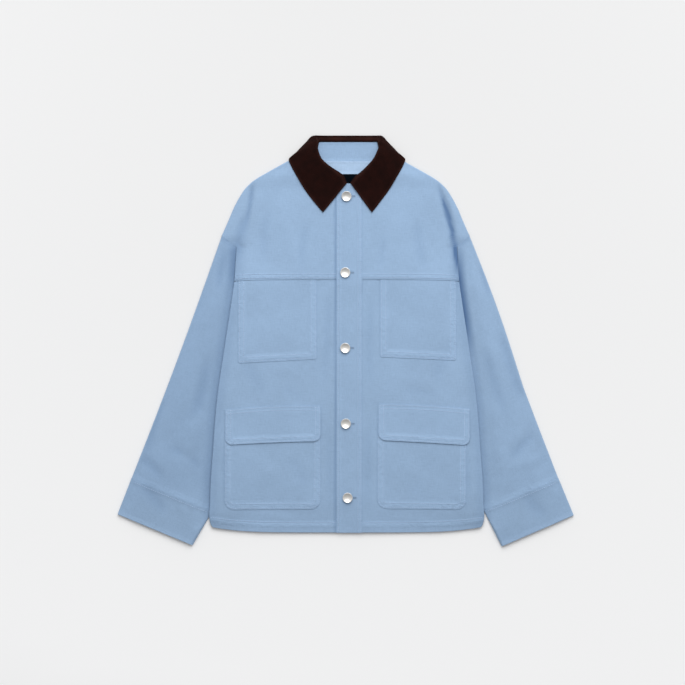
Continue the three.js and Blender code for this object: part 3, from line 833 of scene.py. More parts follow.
def row_line(x, y):
    """Rows follow the curved hem at the bottom and the curved yoke seam above it."""
    hem_share = 1 - ease(HEM, HEM + 60, y)
    seam_share = ease(0, YOKE_SEAM - 1, y) * (1 - ease(YOKE_SEAM, UNDERARM, y))
    return y + hem_share * (hem_line(x) - HEM) + seam_share * (yoke_seam_line(x) - YOKE_SEAM)


def side_row(side, y, inner_x, count, face, upward):
    """One row of a folded panel: its points and, round the fold, its normals. The edge is read at the
    height that the row has there, which keeps the hem's corners square."""
    in_seam = UNDERARM - 0.1 < y < ARMHOLE_TOP + 0.1
    steepness = edge_steepness(side, y)
    edge = float(body_edge(side, row_line(body_edge(side, y), y)))
    x, turns = folded_columns(inner_x, edge, steepness, count, not in_seam)
    height = row_line(x, y)
    middle = (body_rise(x, height) + front_top(x, height)) / 2 + upward * SEAM_GAP / 2
    z = mix(middle, face(x, height), np.cos(turns))
    out = np.sin(turns)
    normals = np.stack([side * steepness * out, math.sqrt(1 - steepness**2) * out, upward * np.cos(turns)], 1)
    normals[turns == 0] = np.nan
    return np.stack([x, height, z], 1), normals


def stack_rows(rows, side=1):
    """A panel's points and normals, in the order that turns its faces outward on either side."""
    points, normals = (np.array([row[part] for row in rows]) for part in (0, 1))
    return (points[:, ::-1], normals[:, ::-1]) if side < 0 else (points, normals)


def front_panel(name, side, rows, wall, seam_lines):
    """A yoke or a front from its rows. Each seam line is a function of the distance from it."""
    points, normals = stack_rows(rows, side)
    x, y = points[..., 0], points[..., 1]
    nearest = np.minimum.reduce([np.abs(line(x, y)) for line in seam_lines])
    # The yoke or front takes the body's painted shade
    marks = {"seam": 1 - ease(0, SEAM_WIDTH, nearest), "painted_shade": body_painted_shade(x, y)}
    return dress(cloth_wall(name, points, wall(x, y), canvas, normals=normals, **marks), "canvas", name)


def steps_between(*stops, step=PANEL_STEP):
    """Heights from stop to stop, each stretch in even steps."""
    heights = [stops[0]]
    for low, high in zip(stops, stops[1:]):
        count = max(1, round((high - low) / step))
        heights += list(np.linspace(low, high, count + 1)[1:])
    return heights


def meeting_edge(side):
    return MEETING_LINE + (SEAM_GAP if side > 0 else 0)


def neck_inner_x(side, y):
    """Inner end of a yoke's row, on the meeting line or round the neckline."""
    below = (NECK_SEAM - y) / NECKLINE_DROP
    if below >= 1:
        return meeting_edge(side)
    return COLLAR_MIDDLE + side * NECKLINE_HALF_WIDTH * math.sqrt(1 - below * below)


def body_painted_shade(x, y):
    """Painted shade on the body: along its sides below the armhole, in the troughs of its creases, and a
    painted shadow along the placket's left edge.
    """
    trough = np.clip(-crease_relief(FRONT_CREASES, x, y) / 4, 0, 1)
    below_armhole = 1 - ease(UNDERARM, ARMHOLE_TOP + 10, y)
    side_shade = 0.17 * (1 - ease(0, 24, edge_distance(x, y))) * below_armhole
    # A painted shadow along the placket's left edge, below the placket's top
    placket_painted_shadow = 0.38 * (1 - ease(1.5, 6.5, abs(x - PLACKET_LEFT))) * (y < PLACKET_TOP)
    return np.clip(mix(0.5, 0.85, ease(0.7, 1, trough)) * trough + side_shade + placket_painted_shadow, 0, 1)


def build_yoke(name, side):
    heights = steps_between(YOKE_SEAM, UNDERARM, ARMHOLE_TOP, SHOULDER_BEND, step=YOKE_STEP)
    heights += steps_between(SHOULDER_BEND, NECK_SEAM, step=SHOULDER_STEP)[1:]

    def face(x, y):
        above = y - yoke_seam_line(x)
        band = 0.25 * (1 - ease(11.5, 15, above)) + sum(groove(above - row) for row in YOKE_STITCHES)
        return yoke_top(x, y) + band - (CANVAS_WALL - PRESSED_EDGE) * (1 - ease(0, 5, above))

    rows = [side_row(side, y, neck_inner_x(side, y), YOKE_COLUMNS, face, 1) for y in heights]
    wall = lambda x, y: mix(PRESSED_EDGE, CANVAS_WALL, ease(0, 5, y - yoke_seam_line(x)))
    return front_panel(name, side, rows, wall, [lambda x, y: y - yoke_seam_line(x) - 6])


def build_lower_front(name, side):
    def face(x, y):
        above = y - hem_line(x)
        return front_top(x, y) + 0.4 * (1 - ease(17, 21, above)) + groove(above - HEM_STITCH)

    inner = meeting_edge(side)
    heights = steps_between(HEM, HEM + 30, YOKE_SEAM - 3)
    rows = [side_row(side, y, inner, FRONT_COLUMNS, face, 1) for y in heights]
    limit = float(body_edge(side, YOKE_SEAM)) - side * 6
    lap_x = np.concatenate([np.linspace(inner, limit, FRONT_COLUMNS), limit + side * 0.4 * np.arange(1, 7)])
    for offset in (-SEAM_GAP, YOKE_LAP / 2, YOKE_LAP):
        y = yoke_seam_line(lap_x) + offset
        points = np.stack([lap_x, y, front_top(lap_x, y)], 1)
        rows.append((points, np.full_like(points, np.nan)))
    seam_lines = [lambda x, y: y - hem_line(x) - 14, lambda x, y: edge_distance(x, y) * 2]
    return front_panel(name, side, rows, lambda x, y: CANVAS_WALL, seam_lines)


def back_face(x, y):
    inside = ease(3, 30, edge_distance(x, y)) * ease(0, 25, y - HEM)
    relief = np.maximum(crease_relief(BACK_CREASES, x, y), 0)
    relief = relief + 0.12 + 0.12 * soft_noise(x, y, 30, 9)
    return body_rise(x, y) + relief * inside


def build_back():
    rows = []
    for y in steps_between(HEM, YOKE_SEAM, UNDERARM, ARMHOLE_TOP, SHOULDER_BEND, NECK_SEAM, step=BACK_STEP):
        right, left = (side_row(side, y, BODY_MIDDLE, BACK_COLUMNS, back_face, -1) for side in (-1, 1))
        rows.append([np.concatenate([left[part][::-1], right[part][1:]]) for part in (0, 1)])
    points, normals = stack_rows(rows)
    return dress(cloth_wall("back", points, CANVAS_WALL, canvas, normals=normals), "canvas", "back")


# Sleeves and cuffs
def flat_ring(side, outer, inner, top_count, *, puff=1.0, band=0.0, depth=1.0, lower=0.0):
    """A flattened tube across one line, from its outer to its inner point. Puff and lower scale its two
    faces' relief, band is a raised edge on the upper one, and depth scales the whole height."""
    width = math.hypot(inner[0] - outer[0], inner[1] - outer[1])
    r = FOLD_RADIUS
    turns = np.radians(np.linspace(60, -60, RING_TURNS))
    top = np.linspace(r, width - r, top_count)
    bottom = np.linspace(width - r, r, top_count // 2)
    across = np.concatenate([top, width - r + r * np.cos(turns), bottom, r - r * np.cos(turns)])
    x = mix(outer[0], inner[0], across / width)
    y = mix(outer[1], inner[1], across / width)
    heights = [np.full(top_count, 2 * r), r + r * np.sin(turns), 0 * bottom, r - r * np.sin(turns)]
    z = np.concatenate(heights) * sleeve_press(side, x, y) * depth
    z[:top_count] += sleeve_upper(side, x[:top_count], y[:top_count], top) * puff + band * ease(0, 4, top)
    under = slice(top_count + RING_TURNS, top_count + RING_TURNS + len(bottom))
    bulge = np.maximum(0, 0.9 * soft_noise(x[under], y[under], 45, 11))
    z[under] += lower * bulge * ease(0, 25, bottom) * (1 - ease(width - 25, width, bottom))
    return np.stack([x, y, z], 1)


def sleeve_upper(side, x, y, across):
    clear = side * (x - body_edge(side, y))
    puff = SLEEVE_PUFF * ease(4, 42, clear) * ease(0, 44, across)
    relief = crease_relief(SLEEVE_CREASES, x, y)
    relief = relief + 0.6 * soft_noise(x, y, 40, 6) + 0.2 * soft_noise(x, y, 15, 7)
    return puff + relief * ease(0, 12, across) * ease(2, 18, clear)


def sleeve_press(side, x, y):
    """A sleeve is pressed thinner under the body and close beside it, and less so at the underarm."""
    clear = side * (x - body_edge(side, y))
    strength = mix(SLEEVE_PRESS, UNDERARM_PRESS, ease(UNDERARM - 34, UNDERARM - 2, y))
    strength = strength * (1 - ease(UNDERARM - 2, ARMHOLE_TOP - 2, y))
    return 1 - strength * (1 - ease(2, 16, clear))


def sleeve_painted_shade(side, points):
    """Painted shade on a sleeve: beside the body, most of all below the armhole, in the troughs of its
    creases, and a little everywhere, fading out down the cuff and heavier on the right sleeve.
    """
    x, y = points[..., 0], points[..., 1]
    clear = side * (x - body_edge(side, y))
    # The right sleeve gets more painted shade over its whole upper face than the left
    if side < 0:
        overall, reach = 0.12, 22
        strength = 0.16 + 0.36 * ease(80, 130, y) * (1 - ease(166, 182, y))
    else:
        overall, reach = 0.04, 17
        strength = 0.16 + 0.8 * ease(-40, 50, y) * (1 - ease(110, 190, y))
    trough = np.clip(-crease_relief(SLEEVE_CREASES, x, y) / 2.2, 0, 1)
    beside = 1 - ease(0, reach, clear)
    return np.clip(overall * ease(-330, -250, y) + beside * strength + 0.22 * trough, 0, 1)


def tube_uv(points):
    """Place on a tube's cloth: distance round its ring and down its length."""
    steps = np.linalg.norm(np.diff(points, axis=1, append=points[:, :1]), axis=2)
    around = np.cumsum(steps, axis=1) - steps
    down = lengths_along(points.mean(1))
    return np.stack([around, np.repeat(down[:, None], points.shape[1], 1)], -1)


def build_tube(name, side, rings, top_count, wall, seam):
    """A sleeve or cuff from its rings, with painted shade on its upper side alone."""
    points = np.array(rings)
    seam = np.repeat(seam[:, None], points.shape[1], 1)
    if side < 0:
        points, seam = points[::-1], seam[::-1]
    painted_shade = sleeve_painted_shade(side, points) * (np.arange(points.shape[1]) < top_count + SHADED_TURNS)
    piece = cloth_wall(name, points, wall, canvas, closed=True, uv=tube_uv(points), seam=seam, painted_shade=painted_shade)
    return dress(piece, "canvas", name)


def build_sleeve(sleeve):
    shares = np.concatenate([np.linspace(0, 0.05, 8), np.linspace(0.05, 1, 100)[1:]])
    rings = []
    for share in shares:
        outer, inner = (np.array(end(sleeve, share), float) for end in (sleeve_outer, sleeve_inner))
        fade = float(ease(0, 0.15, share))
        rings.append(flat_ring(sleeve.side, outer, inner, SLEEVE_COLUMNS, puff=fade, lower=1.0))
    from_end = np.linspace(SLEEVE_LENGTH, 0, len(rings))
    seam = 1 - ease(0, 12, from_end)
    return build_tube(f"sleeve_{sleeve.name}", sleeve.side, rings, SLEEVE_COLUMNS, CANVAS_WALL, seam)


def cuff_ends(sleeve, share):
    """Outer and inner point of a cuff's line, at a share of its depth."""
    outer_x = mix(sleeve.seam_outer[0], sleeve.end_outer[0], share) + CUFF_FLARE * (1 - share)
    inner_x = mix(sleeve.seam_inner[0], sleeve.end_inner[0], share)
    outer_y = mix(sleeve.seam_outer[1], sleeve.end_outer[1], share) - (1 - share) * SEAM_GAP
    inner_y = mix(sleeve.seam_inner[1], sleeve.end_inner[1], share) - (1 - share) * SEAM_GAP
    return (sleeve.side * outer_x, outer_y), (sleeve.side * inner_x, inner_y)


def cuff_puff(share):
    """How much of the sleeve's relief goes on over a cuff, which is stiffer towards its end."""
    return mix(1, 0.25, share)


def cuff_band(share):
    """Raised seam edge of the cuff, with the groove of its topstitching."""
    down = share * CUFF_DEPTH
    return float(0.25 * (1 - ease(7, 10, down)) + groove(down - CUFF_STITCH, 1.6, 0.25))


def build_cuff(sleeve):
    rings = []
    for share in np.linspace(0, 1, 34):
        outer, inner = cuff_ends(sleeve, share)
        form = {"puff": cuff_puff(share), "band": cuff_band(share), "depth": 1 - 0.1 * share**2}
        rings.append(flat_ring(sleeve.side, outer, inner, CUFF_COLUMNS, **form))
    down = np.linspace(0, CUFF_DEPTH, len(rings))
    seam = np.maximum(1 - ease(0, 12, down), ease(CUFF_DEPTH - 10, CUFF_DEPTH, down))
    return build_tube(f"cuff_{sleeve.name}", sleeve.side, rings, CUFF_COLUMNS, CUFF_WALL, seam)


# Pockets and flaps
def patch_lines(patch, x):
    share = (x - patch.inner) / (patch.outer - patch.inner)
    bow = patch.bow * 4 * share * (1 - share)
    top = mix(patch.inner_top, patch.outer_top, share) + bow
    bottom = mix(patch.inner_bottom, patch.outer_bottom, share) + 0.3 * bow
    return top, bottom


def patch_depth(patch, x, y):
    """Distance inside a patch's sides and bottom, round its lower corners."""
    centre = (patch.inner + patch.outer) / 2
    half = abs(patch.outer - patch.inner) / 2
    _, bottom = patch_lines(patch, x)
    beside = np.abs(x - centre) - (half - patch.corner)
    below = patch.corner - (y - bottom)
    outside = np.hypot(np.maximum(beside, 0), np.maximum(below, 0))
    return patch.corner - outside - np.minimum(np.maximum(beside, below), 0)


def patch_grid(patch):
    """Plan of a patch: its rows follow the rounded corners at the bottom and then go straight up."""
    depth = patch.inner_top - patch.inner_bottom
    turns = np.radians([0, 18, 36, 52, 66, 78, 90])
    straight = steps_between(patch.corner, depth, step=PATCH_STEP)[1:]
    ups = [*patch.corner * (1 - np.cos(turns)), *straight]
    insets = [*patch.corner * (1 - np.sin(turns)), *[0] * len(straight)]
    low, high = sorted([patch.inner, patch.outer])
    count = round((high - low) / PATCH_STEP)
    rows = []
    for up, inset in zip(ups, insets):
        x = np.linspace(low + inset, high - inset, count)
        top, bottom = patch_lines(patch, x)
        rows.append(np.stack([x, mix(bottom, top, up / depth)], 1))
    return np.array(rows)


def patch_band(depth, rows):
    """The folded hem round a patch: a low raised band with a groove at each stitch row."""
    band = 0.3 * (1 - ease(rows[-1] + 0.5, rows[-1] + 3.5, depth))
    return band + sum(groove(depth - row, 1.3) for row in rows)


def build_patch(patch, face, rows, pressed):
    """A pocket or flap on its face. A pressed one keeps its outer edge down on the cloth."""
    plan = patch_grid(patch)
    x, y = plan[..., 0], plan[..., 1]
    depth = patch_depth(patch, x, y)
    wall = mix(PRESSED_EDGE, POCKET_WALL, ease(0, 3, depth))
    z = face(x, y) + patch_band(depth, rows) - (POCKET_WALL - wall) * pressed
    # Pockets and flaps take part of the body's painted shade
    marks = {"seam": 1 - ease(rows[-1], rows[-1] + 6, depth), "painted_shade": body_painted_shade(x, y) * 0.6}
    return dress(cloth_wall(patch.name, np.stack([x, y, z], -1), wall, canvas, **marks), "canvas", patch.name)


def patch_contour(patch, inset, top_margin):
    """The line at one distance inside a patch's sides and bottom, from one top corner to the other."""
    radius = max(patch.corner - inset, 0.5)
    turns = np.radians(np.linspace(0, 90, 9))
    halves = []
    for edge, inward in ((patch.inner, 1), (patch.outer, -1)):
        inward *= np.sign(patch.outer - patch.inner)
        side_x = edge + inward * inset
        corner_x = side_x + inward * radius * (1 - np.cos(turns))
        corner_y = patch_lines(patch, corner_x)[1] + inset + radius * (1 - np.sin(turns))
        top_y = patch_lines(patch, side_x)[0] - top_margin
        halves.append(np.stack([[side_x, *corner_x], [top_y, *corner_y]], 1))
    return np.concatenate([halves[0], halves[1][::-1]])


# Placket, neck and collar
def build_placket():
    x = np.linspace(PLACKET_LEFT, PLACKET_RIGHT, 32)
    grid_x, grid_y = np.meshgrid(x, steps_between(PLACKET_BOTTOM, PLACKET_TOP, step=3))
    from_left, from_right = grid_x - PLACKET_LEFT, PLACKET_RIGHT - grid_x
    left_row, *right_rows = PLACKET_STITCHES
    band = 0.3 * (1 - ease(8, 10, from_right)) + groove(from_left - left_row)
    band = band + sum(groove(from_right - row, 1.3) for row in right_rows)
    band = band + 0.18 * soft_noise(grid_x, grid_y, 22, 21)
    wall = mix(PRESSED_EDGE, CANVAS_WALL, ease(0, 4, from_right))
    points = np.stack([grid_x, grid_y, placket_top(grid_x, grid_y) + band - (CANVAS_WALL - wall)], -1)
    seam = 1 - ease(3, 11, np.minimum(from_left, from_right))
    return dress(cloth_wall("placket", points, wall, canvas, seam=seam), "canvas", "placket")


def build_neck_strip(name, slot, material, wall, low, high, half_width, face, shade_inside=0.0):
    x = np.linspace(COLLAR_MIDDLE - half_width, COLLAR_MIDDLE + half_width, 50)
    grid_x, grid_y = np.meshgrid(x, steps_between(low, high, step=2.4))
    points = np.stack([grid_x, grid_y, face(grid_x, grid_y)], -1)
    seam = 1 - ease(0, 6, np.minimum(grid_y - low, high - grid_y))
    return dress(cloth_wall(name, points, wall, material, seam=seam, painted_shade=shade_inside), slot, name)


def above_back(x, y):
    """Upper face of the facing and the lining, which lie on the back."""
    return body_rise(x, y) + CANVAS_WALL + SEAM_GAP + LINING_WALL


def stand_top(x, y):
    return COLLAR_LIFT + CANVAS_WALL + 0.6 + 0.15 * soft_noise(x, y, 18, 41)


def under_leaf(x, y):
    """Upper face of what the collar's leaves lie on."""
    left, right = PLACKET_LEFT, PLACKET_RIGHT
    on_placket = ease(left - 30, left - 1, x) * (1 - ease(right + 1, right + 30, x))
    return front_top(x, y) + (CANVAS_WALL + SEAM_GAP) * on_placket


def collar_half(side):
    """Sections of one half of the collar, from its front tip to the back, as seam, fold, bend and edge."""
    place = lambda reach, y, z: (COLLAR_MIDDLE + side * reach, y, z)
    leaf_top = lambda reach, y: float(under_leaf(COLLAR_MIDDLE + side * reach, y)) + LEAF_GAP + CORDUROY_WALL
    sections = []
    for row in LEAF:
        fold_reach = row.fold_reach + side * row.shift
        edge_reach = row.edge_reach - LEAF_NARROWING * max(side, 0) * float(ease(238, 262, row.edge_height))
        bend_reach = mix(fold_reach, edge_reach, LEAF_BEND)
        bend_height = mix(row.fold_height, row.edge_height, LEAF_BEND)
        fold_z = leaf_top(fold_reach, row.fold_height) + row.fold_rise
        lip = min(row.fold_rise, 2.4)
        sections.append([
            place(fold_reach - 1.2 - lip * 0.5, row.fold_height + 1, fold_z - 1 - row.fold_rise),
            place(fold_reach, row.fold_height, fold_z),
            place(bend_reach, bend_height, leaf_top(bend_reach, bend_height) + row.fold_rise * 0.45),
            place(edge_reach, row.edge_height, leaf_top(edge_reach, row.edge_height)),
        ])
    for row in NECK:
        share = max(side, 0) * float(ease(0, 50, row.fold[0]))
        shifts = (NECK_SHIFT, NECK_SHIFT, -LEAF_NARROWING, -LEAF_NARROWING)
        sections.append([place(x + share * shift, y, z) for (x, y, z), shift in zip(row, shifts)])
    return sections


def smooth_path(points, count):
    """Points along a centripetal Catmull-Rom curve, evenly spread over its control points."""
    points = np.asarray(points, float)
    padded = np.concatenate([[2 * points[0] - points[1]], points, [2 * points[-1] - points[-2]]])
    result = []
    for share in np.linspace(0, len(points) - 1, count):
        index = min(int(share), len(points) - 2)
        p = padded[index:index + 4]
        knots = np.concatenate([[0], np.cumsum(np.sqrt(np.linalg.norm(np.diff(p, axis=0), axis=1)) + 1e-6)])
        t = mix(knots[1], knots[2], share - index)
        blend = lambda a, b, low, high: a * (high - t) / (high - low) + b * (t - low) / (high - low)
        a1, a2, a3 = (blend(p[i], p[i + 1], knots[i], knots[i + 1]) for i in range(3))
        b1, b2 = blend(a1, a2, knots[0], knots[2]), blend(a2, a3, knots[1], knots[3])
        result.append(blend(b1, b2, knots[1], knots[2]))
    return np.array(result)


def collar_grid(lengthwise=150, across=34):
    sections = np.array(collar_half(-1) + collar_half(1)[:-1][::-1])
    lines = np.array([smooth_path(sections[:, corner], lengthwise) for corner in range(4)])
    rows = np.array([smooth_path(lines[:, row], across)[::-1] for row in range(lengthwise)])
    rows[..., 2] = np.maximum(rows[..., 2], 0)
    rows[..., 1] = np.minimum(rows[..., 1], COLLAR_TOP)
    return rows


def build_collar():
    points = collar_grid()
    from_edge = np.array([lengths_along(row) for row in points])
    along = lengths_along(points[:, points.shape[1] // 4])[:, None]
    inside = np.minimum(from_edge, np.minimum(along, along[-1] - along))
    band = 0.25 * (1 - ease(6, 8, inside)) + groove(inside - 5.5, 1.4, 0.3)
    upward = np.clip(grid_normals(points, False)[..., 2], 0, 1)
    points[..., 2] += band * upward + 0.2 * upward * soft_noise(points[..., 0], points[..., 1], 16, 31)
    uv = np.stack([np.repeat(along, points.shape[1], 1), from_edge], -1)
    to_fold = np.abs(from_edge - from_edge[:, -1:] * FOLD_SHARE)
    seam = 1 - ease(0, 5, np.minimum(inside, to_fold))
    piece = cloth_wall("collar_fall", points, CORDUROY_WALL, corduroy, uv=uv, seam=seam)
    return dress(piece, "corduroy", "collar_fall")


# Stitches
def along_line(points, pitch):
    """Even places along a line in plan, with the direction at each."""
    lengths = lengths_along(points)
    places = np.arange(pitch / 2, lengths[-1], pitch)
    at = lambda where: np.stack([np.interp(where, lengths, column) for column in points.T], 1)
    return at(places), unit(at(places + 0.4) - at(places - 0.4))


def stitch_template():
    """One stitch along +X: a short rounded thread, six sided, as points and faces."""
    sections = [(-0.5, 0.3), (-0.25, 0.95), (0.25, 0.95), (0.5, 0.3)]
    turns = np.radians(np.arange(0, 360, 60))
    points = [
        (share * STITCH_LENGTH, size * STITCH_RADIUS * math.cos(turn), size * STITCH_RADIUS * math.sin(turn))
        for share, size in sections
        for turn in turns
    ]
    faces = [tuple(range(6)), tuple(range(23, 17, -1))]
    for start in (0, 6, 12):
        for k in range(6):
            a, b = start + k, start + (k + 1) % 6
            faces.append((a, a + 6, b + 6, b))
    return np.array(points), faces


def build_stitches(rows):
    """All stitches as one mesh. A row is a line in plan and the face that it lies on."""
    template, template_faces = stitch_template()
    vertices, faces = [], []
    for line, face in rows:
        here, heading = along_line(line, STITCH_PITCH)
        height = face(here[:, 0], here[:, 1])
        ahead = face(here[:, 0] + heading[:, 0], here[:, 1] + heading[:, 1])
        forward = unit(np.column_stack([heading, ahead - height]))
        sideways = np.column_stack([-heading[:, 1], heading[:, 0], np.zeros(len(heading))])
        upward = np.cross(forward, sideways)
        centres = np.column_stack([here, height + STITCH_LIFT])
        for centre, *axes in zip(centres, forward, sideways, upward):
            start = len(vertices) * len(template)
            vertices.append(centre + template @ np.stack(axes))
            faces += [tuple(start + corner for corner in corners) for corners in template_faces]
    dress(new_piece("stitching", np.concatenate(vertices), faces, thread), "canvas")


def level_line(low_x, high_x, line):
    x = np.linspace(low_x, high_x, 60)
    return np.stack([x, line(x)], 1)


def stitch_rows():
    """Every row of topstitching on the body, as a line in plan and the face that it lies on."""
    rows = []
    for side in (-1, 1):
        yoke_end, hem_end = (float(body_edge(side, height)) - side * 3 for height in (YOKE_SEAM, HEM + 24))
        start = PLACKET_LEFT - 1 if side < 0 else PLACKET_RIGHT + 1
        for above in YOKE_STITCHES:
            line = level_line(start, yoke_end, lambda x: yoke_seam_line(x) + above)
            rows.append((line, lambda x, y: yoke_top(x, y) + 0.15))
        line = level_line(start, hem_end, lambda x: hem_line(x) + HEM_STITCH)
        rows.append((line, lambda x, y: front_top(x, y) + 0.2))
    for patch in POCKETS:
        rows += [(patch_contour(patch, inset, 10), pocket_top) for inset in POCKET_STITCHES]
    for flap in FLAPS:
        face = lambda x, y, flap=flap: flap_top(flap, x, y)
        low, high = sorted([flap.inner, flap.outer])
        rows += [(patch_contour(flap, inset, 2), face) for inset in FLAP_STITCHES]
        for below in FLAP_TOP_STITCHES:
            rows.append((level_line(low + 3, high - 3, lambda x: patch_lines(flap, x)[0] - below), face))
    left_row, *right_rows = PLACKET_STITCHES
    y = np.linspace(PLACKET_BOTTOM + 2, PLACKET_TOP - 2, 220)
    for x in (PLACKET_LEFT + left_row, *[PLACKET_RIGHT - row for row in right_rows]):
        rows.append((np.stack([np.full_like(y, x), y], 1), placket_top))
    return rows


def cuff_stitch_row(sleeve):
    """The topstitching of a cuff's upper face, just below its seam."""
    share = CUFF_STITCH / CUFF_DEPTH
    outer, inner = cuff_ends(sleeve, share)

    def face(x, y):
        across = np.hypot(x - outer[0], y - outer[1])
        relief = sleeve_upper(sleeve.side, x, y, across) * cuff_puff(share)
        return TUBE_DEPTH * sleeve_press(sleeve.side, x, y) + relief + 0.1

    return np.linspace(outer, inner, 60)[3:-3], face


# Buttons and buttonholes
def lathe(profile, segments):
    """A closed turned shape, from a profile that starts and ends on the axis."""
    turns = np.linspace(0, 2 * np.pi, segments, endpoint=False)
    points = [(0, 0, profile[0][1])]
    for radius, z in profile[1:-1]:
        points += [(radius * math.cos(turn), radius * math.sin(turn), z) for turn in turns]
    points.append((0, 0, profile[-1][1]))
    index = 1 + np.arange(len(points) - 2).reshape(-1, segments)
    rings = np.pad(index, ((0, 0), (0, 1)), mode="wrap")
    faces = quads(rings).reshape(-1, 4).tolist()
    first, last = rings[0].tolist(), rings[-1].tolist()
    faces += [(0, b, a) for a, b in zip(first, first[1:])]
    faces += [(a, b, len(points) - 1) for a, b in zip(last, last[1:])]
    return np.array(points), faces


def button_profile():
    """Shank, flat underside, rolled rim and a dished face."""
    turns = np.radians(np.linspace(-80, 120, 9))
    rim = [(8.7 + 0.55 * math.cos(turn), 3.05 + 0.55 * math.sin(turn)) for turn in turns]
    reaches = (8.2, 7.6, *range(7, -1, -1))
    dish = [(reach, DISH_BOTTOM + DISH_DEPTH * (reach / 8.4) ** 2) for reach in reaches]
    return [(0, 0), (2.6, 0), (3.0, 0.4), (3.0, 0.8), (7.8, 1.2), (8.6, 1.9), *rim, *dish]


def build_buttons():
    points, faces = lathe(button_profile(), 48)
    for number, button in enumerate(BUTTONS, 1):
        tilt = math.radians(button.tilt)
        base = float(placket_top(button.x, button.height)) + SEAM_GAP + 3.4 * math.sin(tilt)
        x, y, z = points.T
        turned_y, turned_z = y * math.cos(tilt) - z * math.sin(tilt), y * math.sin(tilt) + z * math.cos(tilt)
        turned = np.stack([x + button.x, turned_y + button.height, turned_z + base], 1)
        name = f"button_{number}"
        dress(new_piece(name, turned, faces, metal), "metal", name)


def build_buttonholes():
    """Satin-stitched buttonholes under the buttons, each a closed oval ring of thread with a slit."""
    turns = np.linspace(0, 2 * np.pi, 72, endpoint=False)[:, None]
    around = np.radians(np.arange(0, 360, 45))
    length, width, radius = 10.5, 1.0, 0.6
    size = radius * np.where(np.arange(len(turns)) % 2, 1.12, 0.9)[:, None]
    out, up = size * np.cos(around), size * 0.7 * np.sin(around)
    reach = np.sign(np.cos(turns)) * (length - width) + width * np.cos(turns)
    reach[np.abs(np.cos(turns)) < 1e-6] = 0
    index = np.arange(out.size).reshape(out.shape)
    ring_faces = quads(np.pad(index, ((0, 1), (0, 1)), mode="wrap").T).reshape(-1, 4)
    vertices, faces = [], []
    for number, button in enumerate(BUTTONS):
        line_x, line_y = button.x + 5.2 + reach, button.height + width * np.sin(turns)
        z = placket_top(line_x, line_y) + 0.1 + up
        ring = np.stack([line_x + out * np.cos(turns), line_y + out * np.sin(turns), z], -1)
        vertices.append(ring.reshape(-1, 3))
        faces += (ring_faces + number * out.size).tolist()
    dress(new_piece("buttonholes", np.concatenate(vertices), faces, buttonhole_thread), "canvas")


# Stage, lights and camera
PIXEL = 1.85
PHOTO_SIZE = 685
JACKET_MIDDLE = (345.65, 340.85)
VIEW_CENTRE = ((PHOTO_SIZE / 2 - JACKET_MIDDLE[0]) * PIXEL, (JACKET_MIDDLE[1] - PHOTO_SIZE / 2) * PIXEL)
VIEW_WIDTH = PHOTO_SIZE * PIXEL
LENS = 85
SENSOR_WIDTH = 36

# The key lamp stands beyond the collar, and the floor is toned so that its fall-off doesn't show there
WORLD_LIGHT = 0.6
WORLD_SLANT = 0.6
KEY_PLACE = (0.24, 1.75, 1.85)
KEY_POWER = 64.5
KEY_SIZE = 2.3
FLOOR_TARGET = 0.862


def key_light_at(x, y):
    """Brightness that the key lamp gives a white table at one place."""
    to_lamp = np.stack([KEY_PLACE[0] - x, KEY_PLACE[1] - y, np.full_like(x, KEY_PLACE[2])], -1)
    distance = np.linalg.norm(to_lamp, axis=-1)
    axis = np.array(KEY_PLACE) / np.linalg.norm(KEY_PLACE)
    facing = np.clip(to_lamp @ axis / distance, 0, 1)
    spread = distance**2 + (KEY_SIZE / 2) ** 2
    return KEY_POWER / math.pi**2 * facing * to_lamp[..., 2] / (distance * spread)


def build_stage():
    """A wide pale floor just below the jacket, toned against the key lamp's fall-off."""
    stops = np.concatenate([[-6, -3, -1.5], np.linspace(-0.9, 0.9, 37), [1.5, 3, 6]])
    grid_x, grid_y = np.meshgrid(stops, stops)
    index = np.arange(grid_x.size).reshape(grid_x.shape)
    flat = np.stack([grid_x, grid_y, np.zeros_like(grid_x)], -1).reshape(-1, 3)
    mesh = bpy.data.meshes.new("floor")
    mesh.from_pydata(flat.tolist(), [], quads(index).reshape(-1, 4).tolist())
    tone = FLOOR_TARGET * (1 + 0.015 * ease(0, 0.6, grid_y)) / (WORLD_LIGHT + key_light_at(grid_x, grid_y))
    point_attribute(mesh, "tone", [np.clip(tone, 0.4, 0.9).reshape(-1)])
    floor = bpy.data.objects.new("floor", mesh)
    floor.location.z = -0.0006
    nodes = Nodes("pale_floor")
    grain = nodes.add("ShaderNodeTexNoise", {"Scale": 3.0, "Detail": 2.0}).outputs["Fac"]
    grained = nodes.math("MULTIPLY", nodes.attribute("tone"), nodes.math("MULTIPLY_ADD", grain, 0.006))
    mesh.materials.append(nodes.finish({"Base Color": grained, "Roughness": 1.0, "Specular IOR Level": 0.0}))
    bpy.context.scene.collection.objects.link(floor)
    floor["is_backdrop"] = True


def area_light(name, location, size, power):
    data = bpy.data.lights.new(name, "AREA")
    data.shape = "DISK"
    data.size = size
    data.energy = power
    light = bpy.data.objects.new(name, data)
    light.location = location
    light.rotation_euler = (-Vector(location)).to_track_quat("-Z", "Y").to_euler()
    bpy.context.scene.collection.objects.link(light)


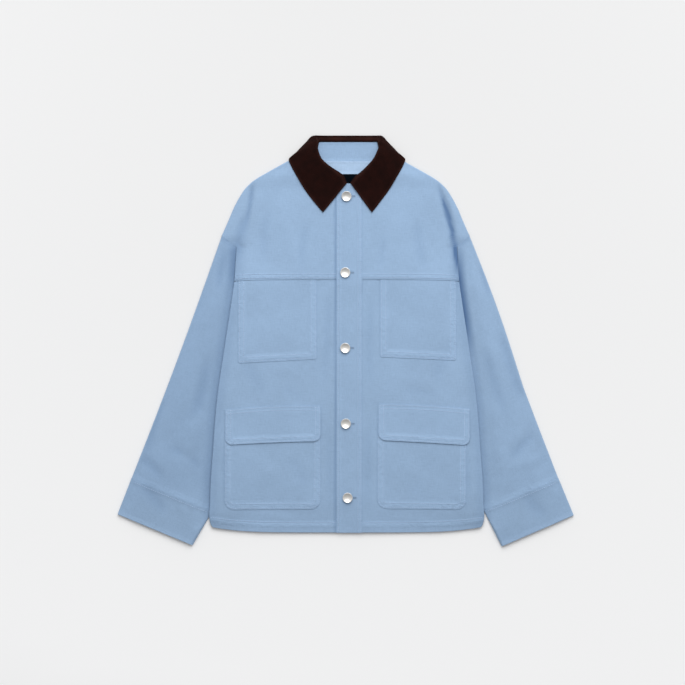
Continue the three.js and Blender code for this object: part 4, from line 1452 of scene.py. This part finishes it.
def build_lights():
    """A pale sky, brighter beyond the collar, and the key lamp."""
    world = bpy.data.worlds.new("studio")
    world.use_nodes = True
    tree = world.node_tree
    background = tree.nodes["Background"]
    background.inputs["Color"].default_value = (0.985, 0.99, 1.0, 1)
    direction = tree.nodes.new("ShaderNodeTexCoord").outputs["Generated"]
    parts = tree.nodes.new("ShaderNodeSeparateXYZ")
    strength = tree.nodes.new("ShaderNodeMapRange")
    strength.inputs["From Min"].default_value = -1
    strength.inputs["To Min"].default_value = WORLD_LIGHT * (1 - WORLD_SLANT)
    strength.inputs["To Max"].default_value = WORLD_LIGHT * (1 + WORLD_SLANT)
    tree.links.new(direction, parts.inputs[0])
    tree.links.new(parts.outputs["Y"], strength.inputs["Value"])
    tree.links.new(strength.outputs["Result"], background.inputs["Strength"])
    bpy.context.scene.world = world
    area_light("key", KEY_PLACE, KEY_SIZE, KEY_POWER)


def build_camera():
    """A camera straight above, with the photo's framing."""
    data = bpy.data.cameras.new("camera")
    data.lens = LENS
    data.sensor_width = SENSOR_WIDTH
    camera = bpy.data.objects.new("camera", data)
    distance = LENS * VIEW_WIDTH / SENSOR_WIDTH
    camera.location = (VIEW_CENTRE[0] * METRE, VIEW_CENTRE[1] * METRE, (distance + 8) * METRE)
    data.clip_end = 50
    bpy.context.scene.collection.objects.link(camera)
    bpy.context.scene.camera = camera


scene = bpy.context.scene
scene.view_settings.view_transform = "Standard"
scene.view_settings.look = "None"

build_camera()
build_stage()
build_lights()

build_back()
for side, name in ((-1, "right"), (1, "left")):
    build_lower_front(f"front_{name}", side)
    build_yoke(f"yoke_{name}", side)
for sleeve in SLEEVES:
    build_sleeve(sleeve)
    build_cuff(sleeve)

facing = ("facing_cloth", facing_cloth, LINING_WALL, FACING_BOTTOM, NECK_SEAM, 70, above_back)
build_neck_strip("back_neck_facing", *facing)
backing = ("lining", lining, LINING_WALL, LINING_BOTTOM, FACING_BOTTOM - SEAM_GAP, 66, above_back)
build_neck_strip("back_lining", *backing)
# The stand takes a little painted shade, as it lies inside the neck
stand = ("canvas", canvas, CANVAS_WALL, NECK_SEAM + SEAM_GAP, STAND_TOP, 62, stand_top, 0.07)
build_neck_strip("collar_stand", *stand)

for pocket in POCKETS:
    build_patch(pocket, pocket_top, POCKET_STITCHES, 1)
for flap in FLAPS:
    face = lambda x, y: flap_top(flap, x, y)
    build_patch(flap, face, FLAP_STITCHES, 0)
build_placket()
build_collar()

build_buttons()
build_buttonholes()
build_stitches(stitch_rows() + [cuff_stitch_row(sleeve) for sleeve in SLEEVES])

{"cad": cad_box, "visual": [list(corner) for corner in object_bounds()]}
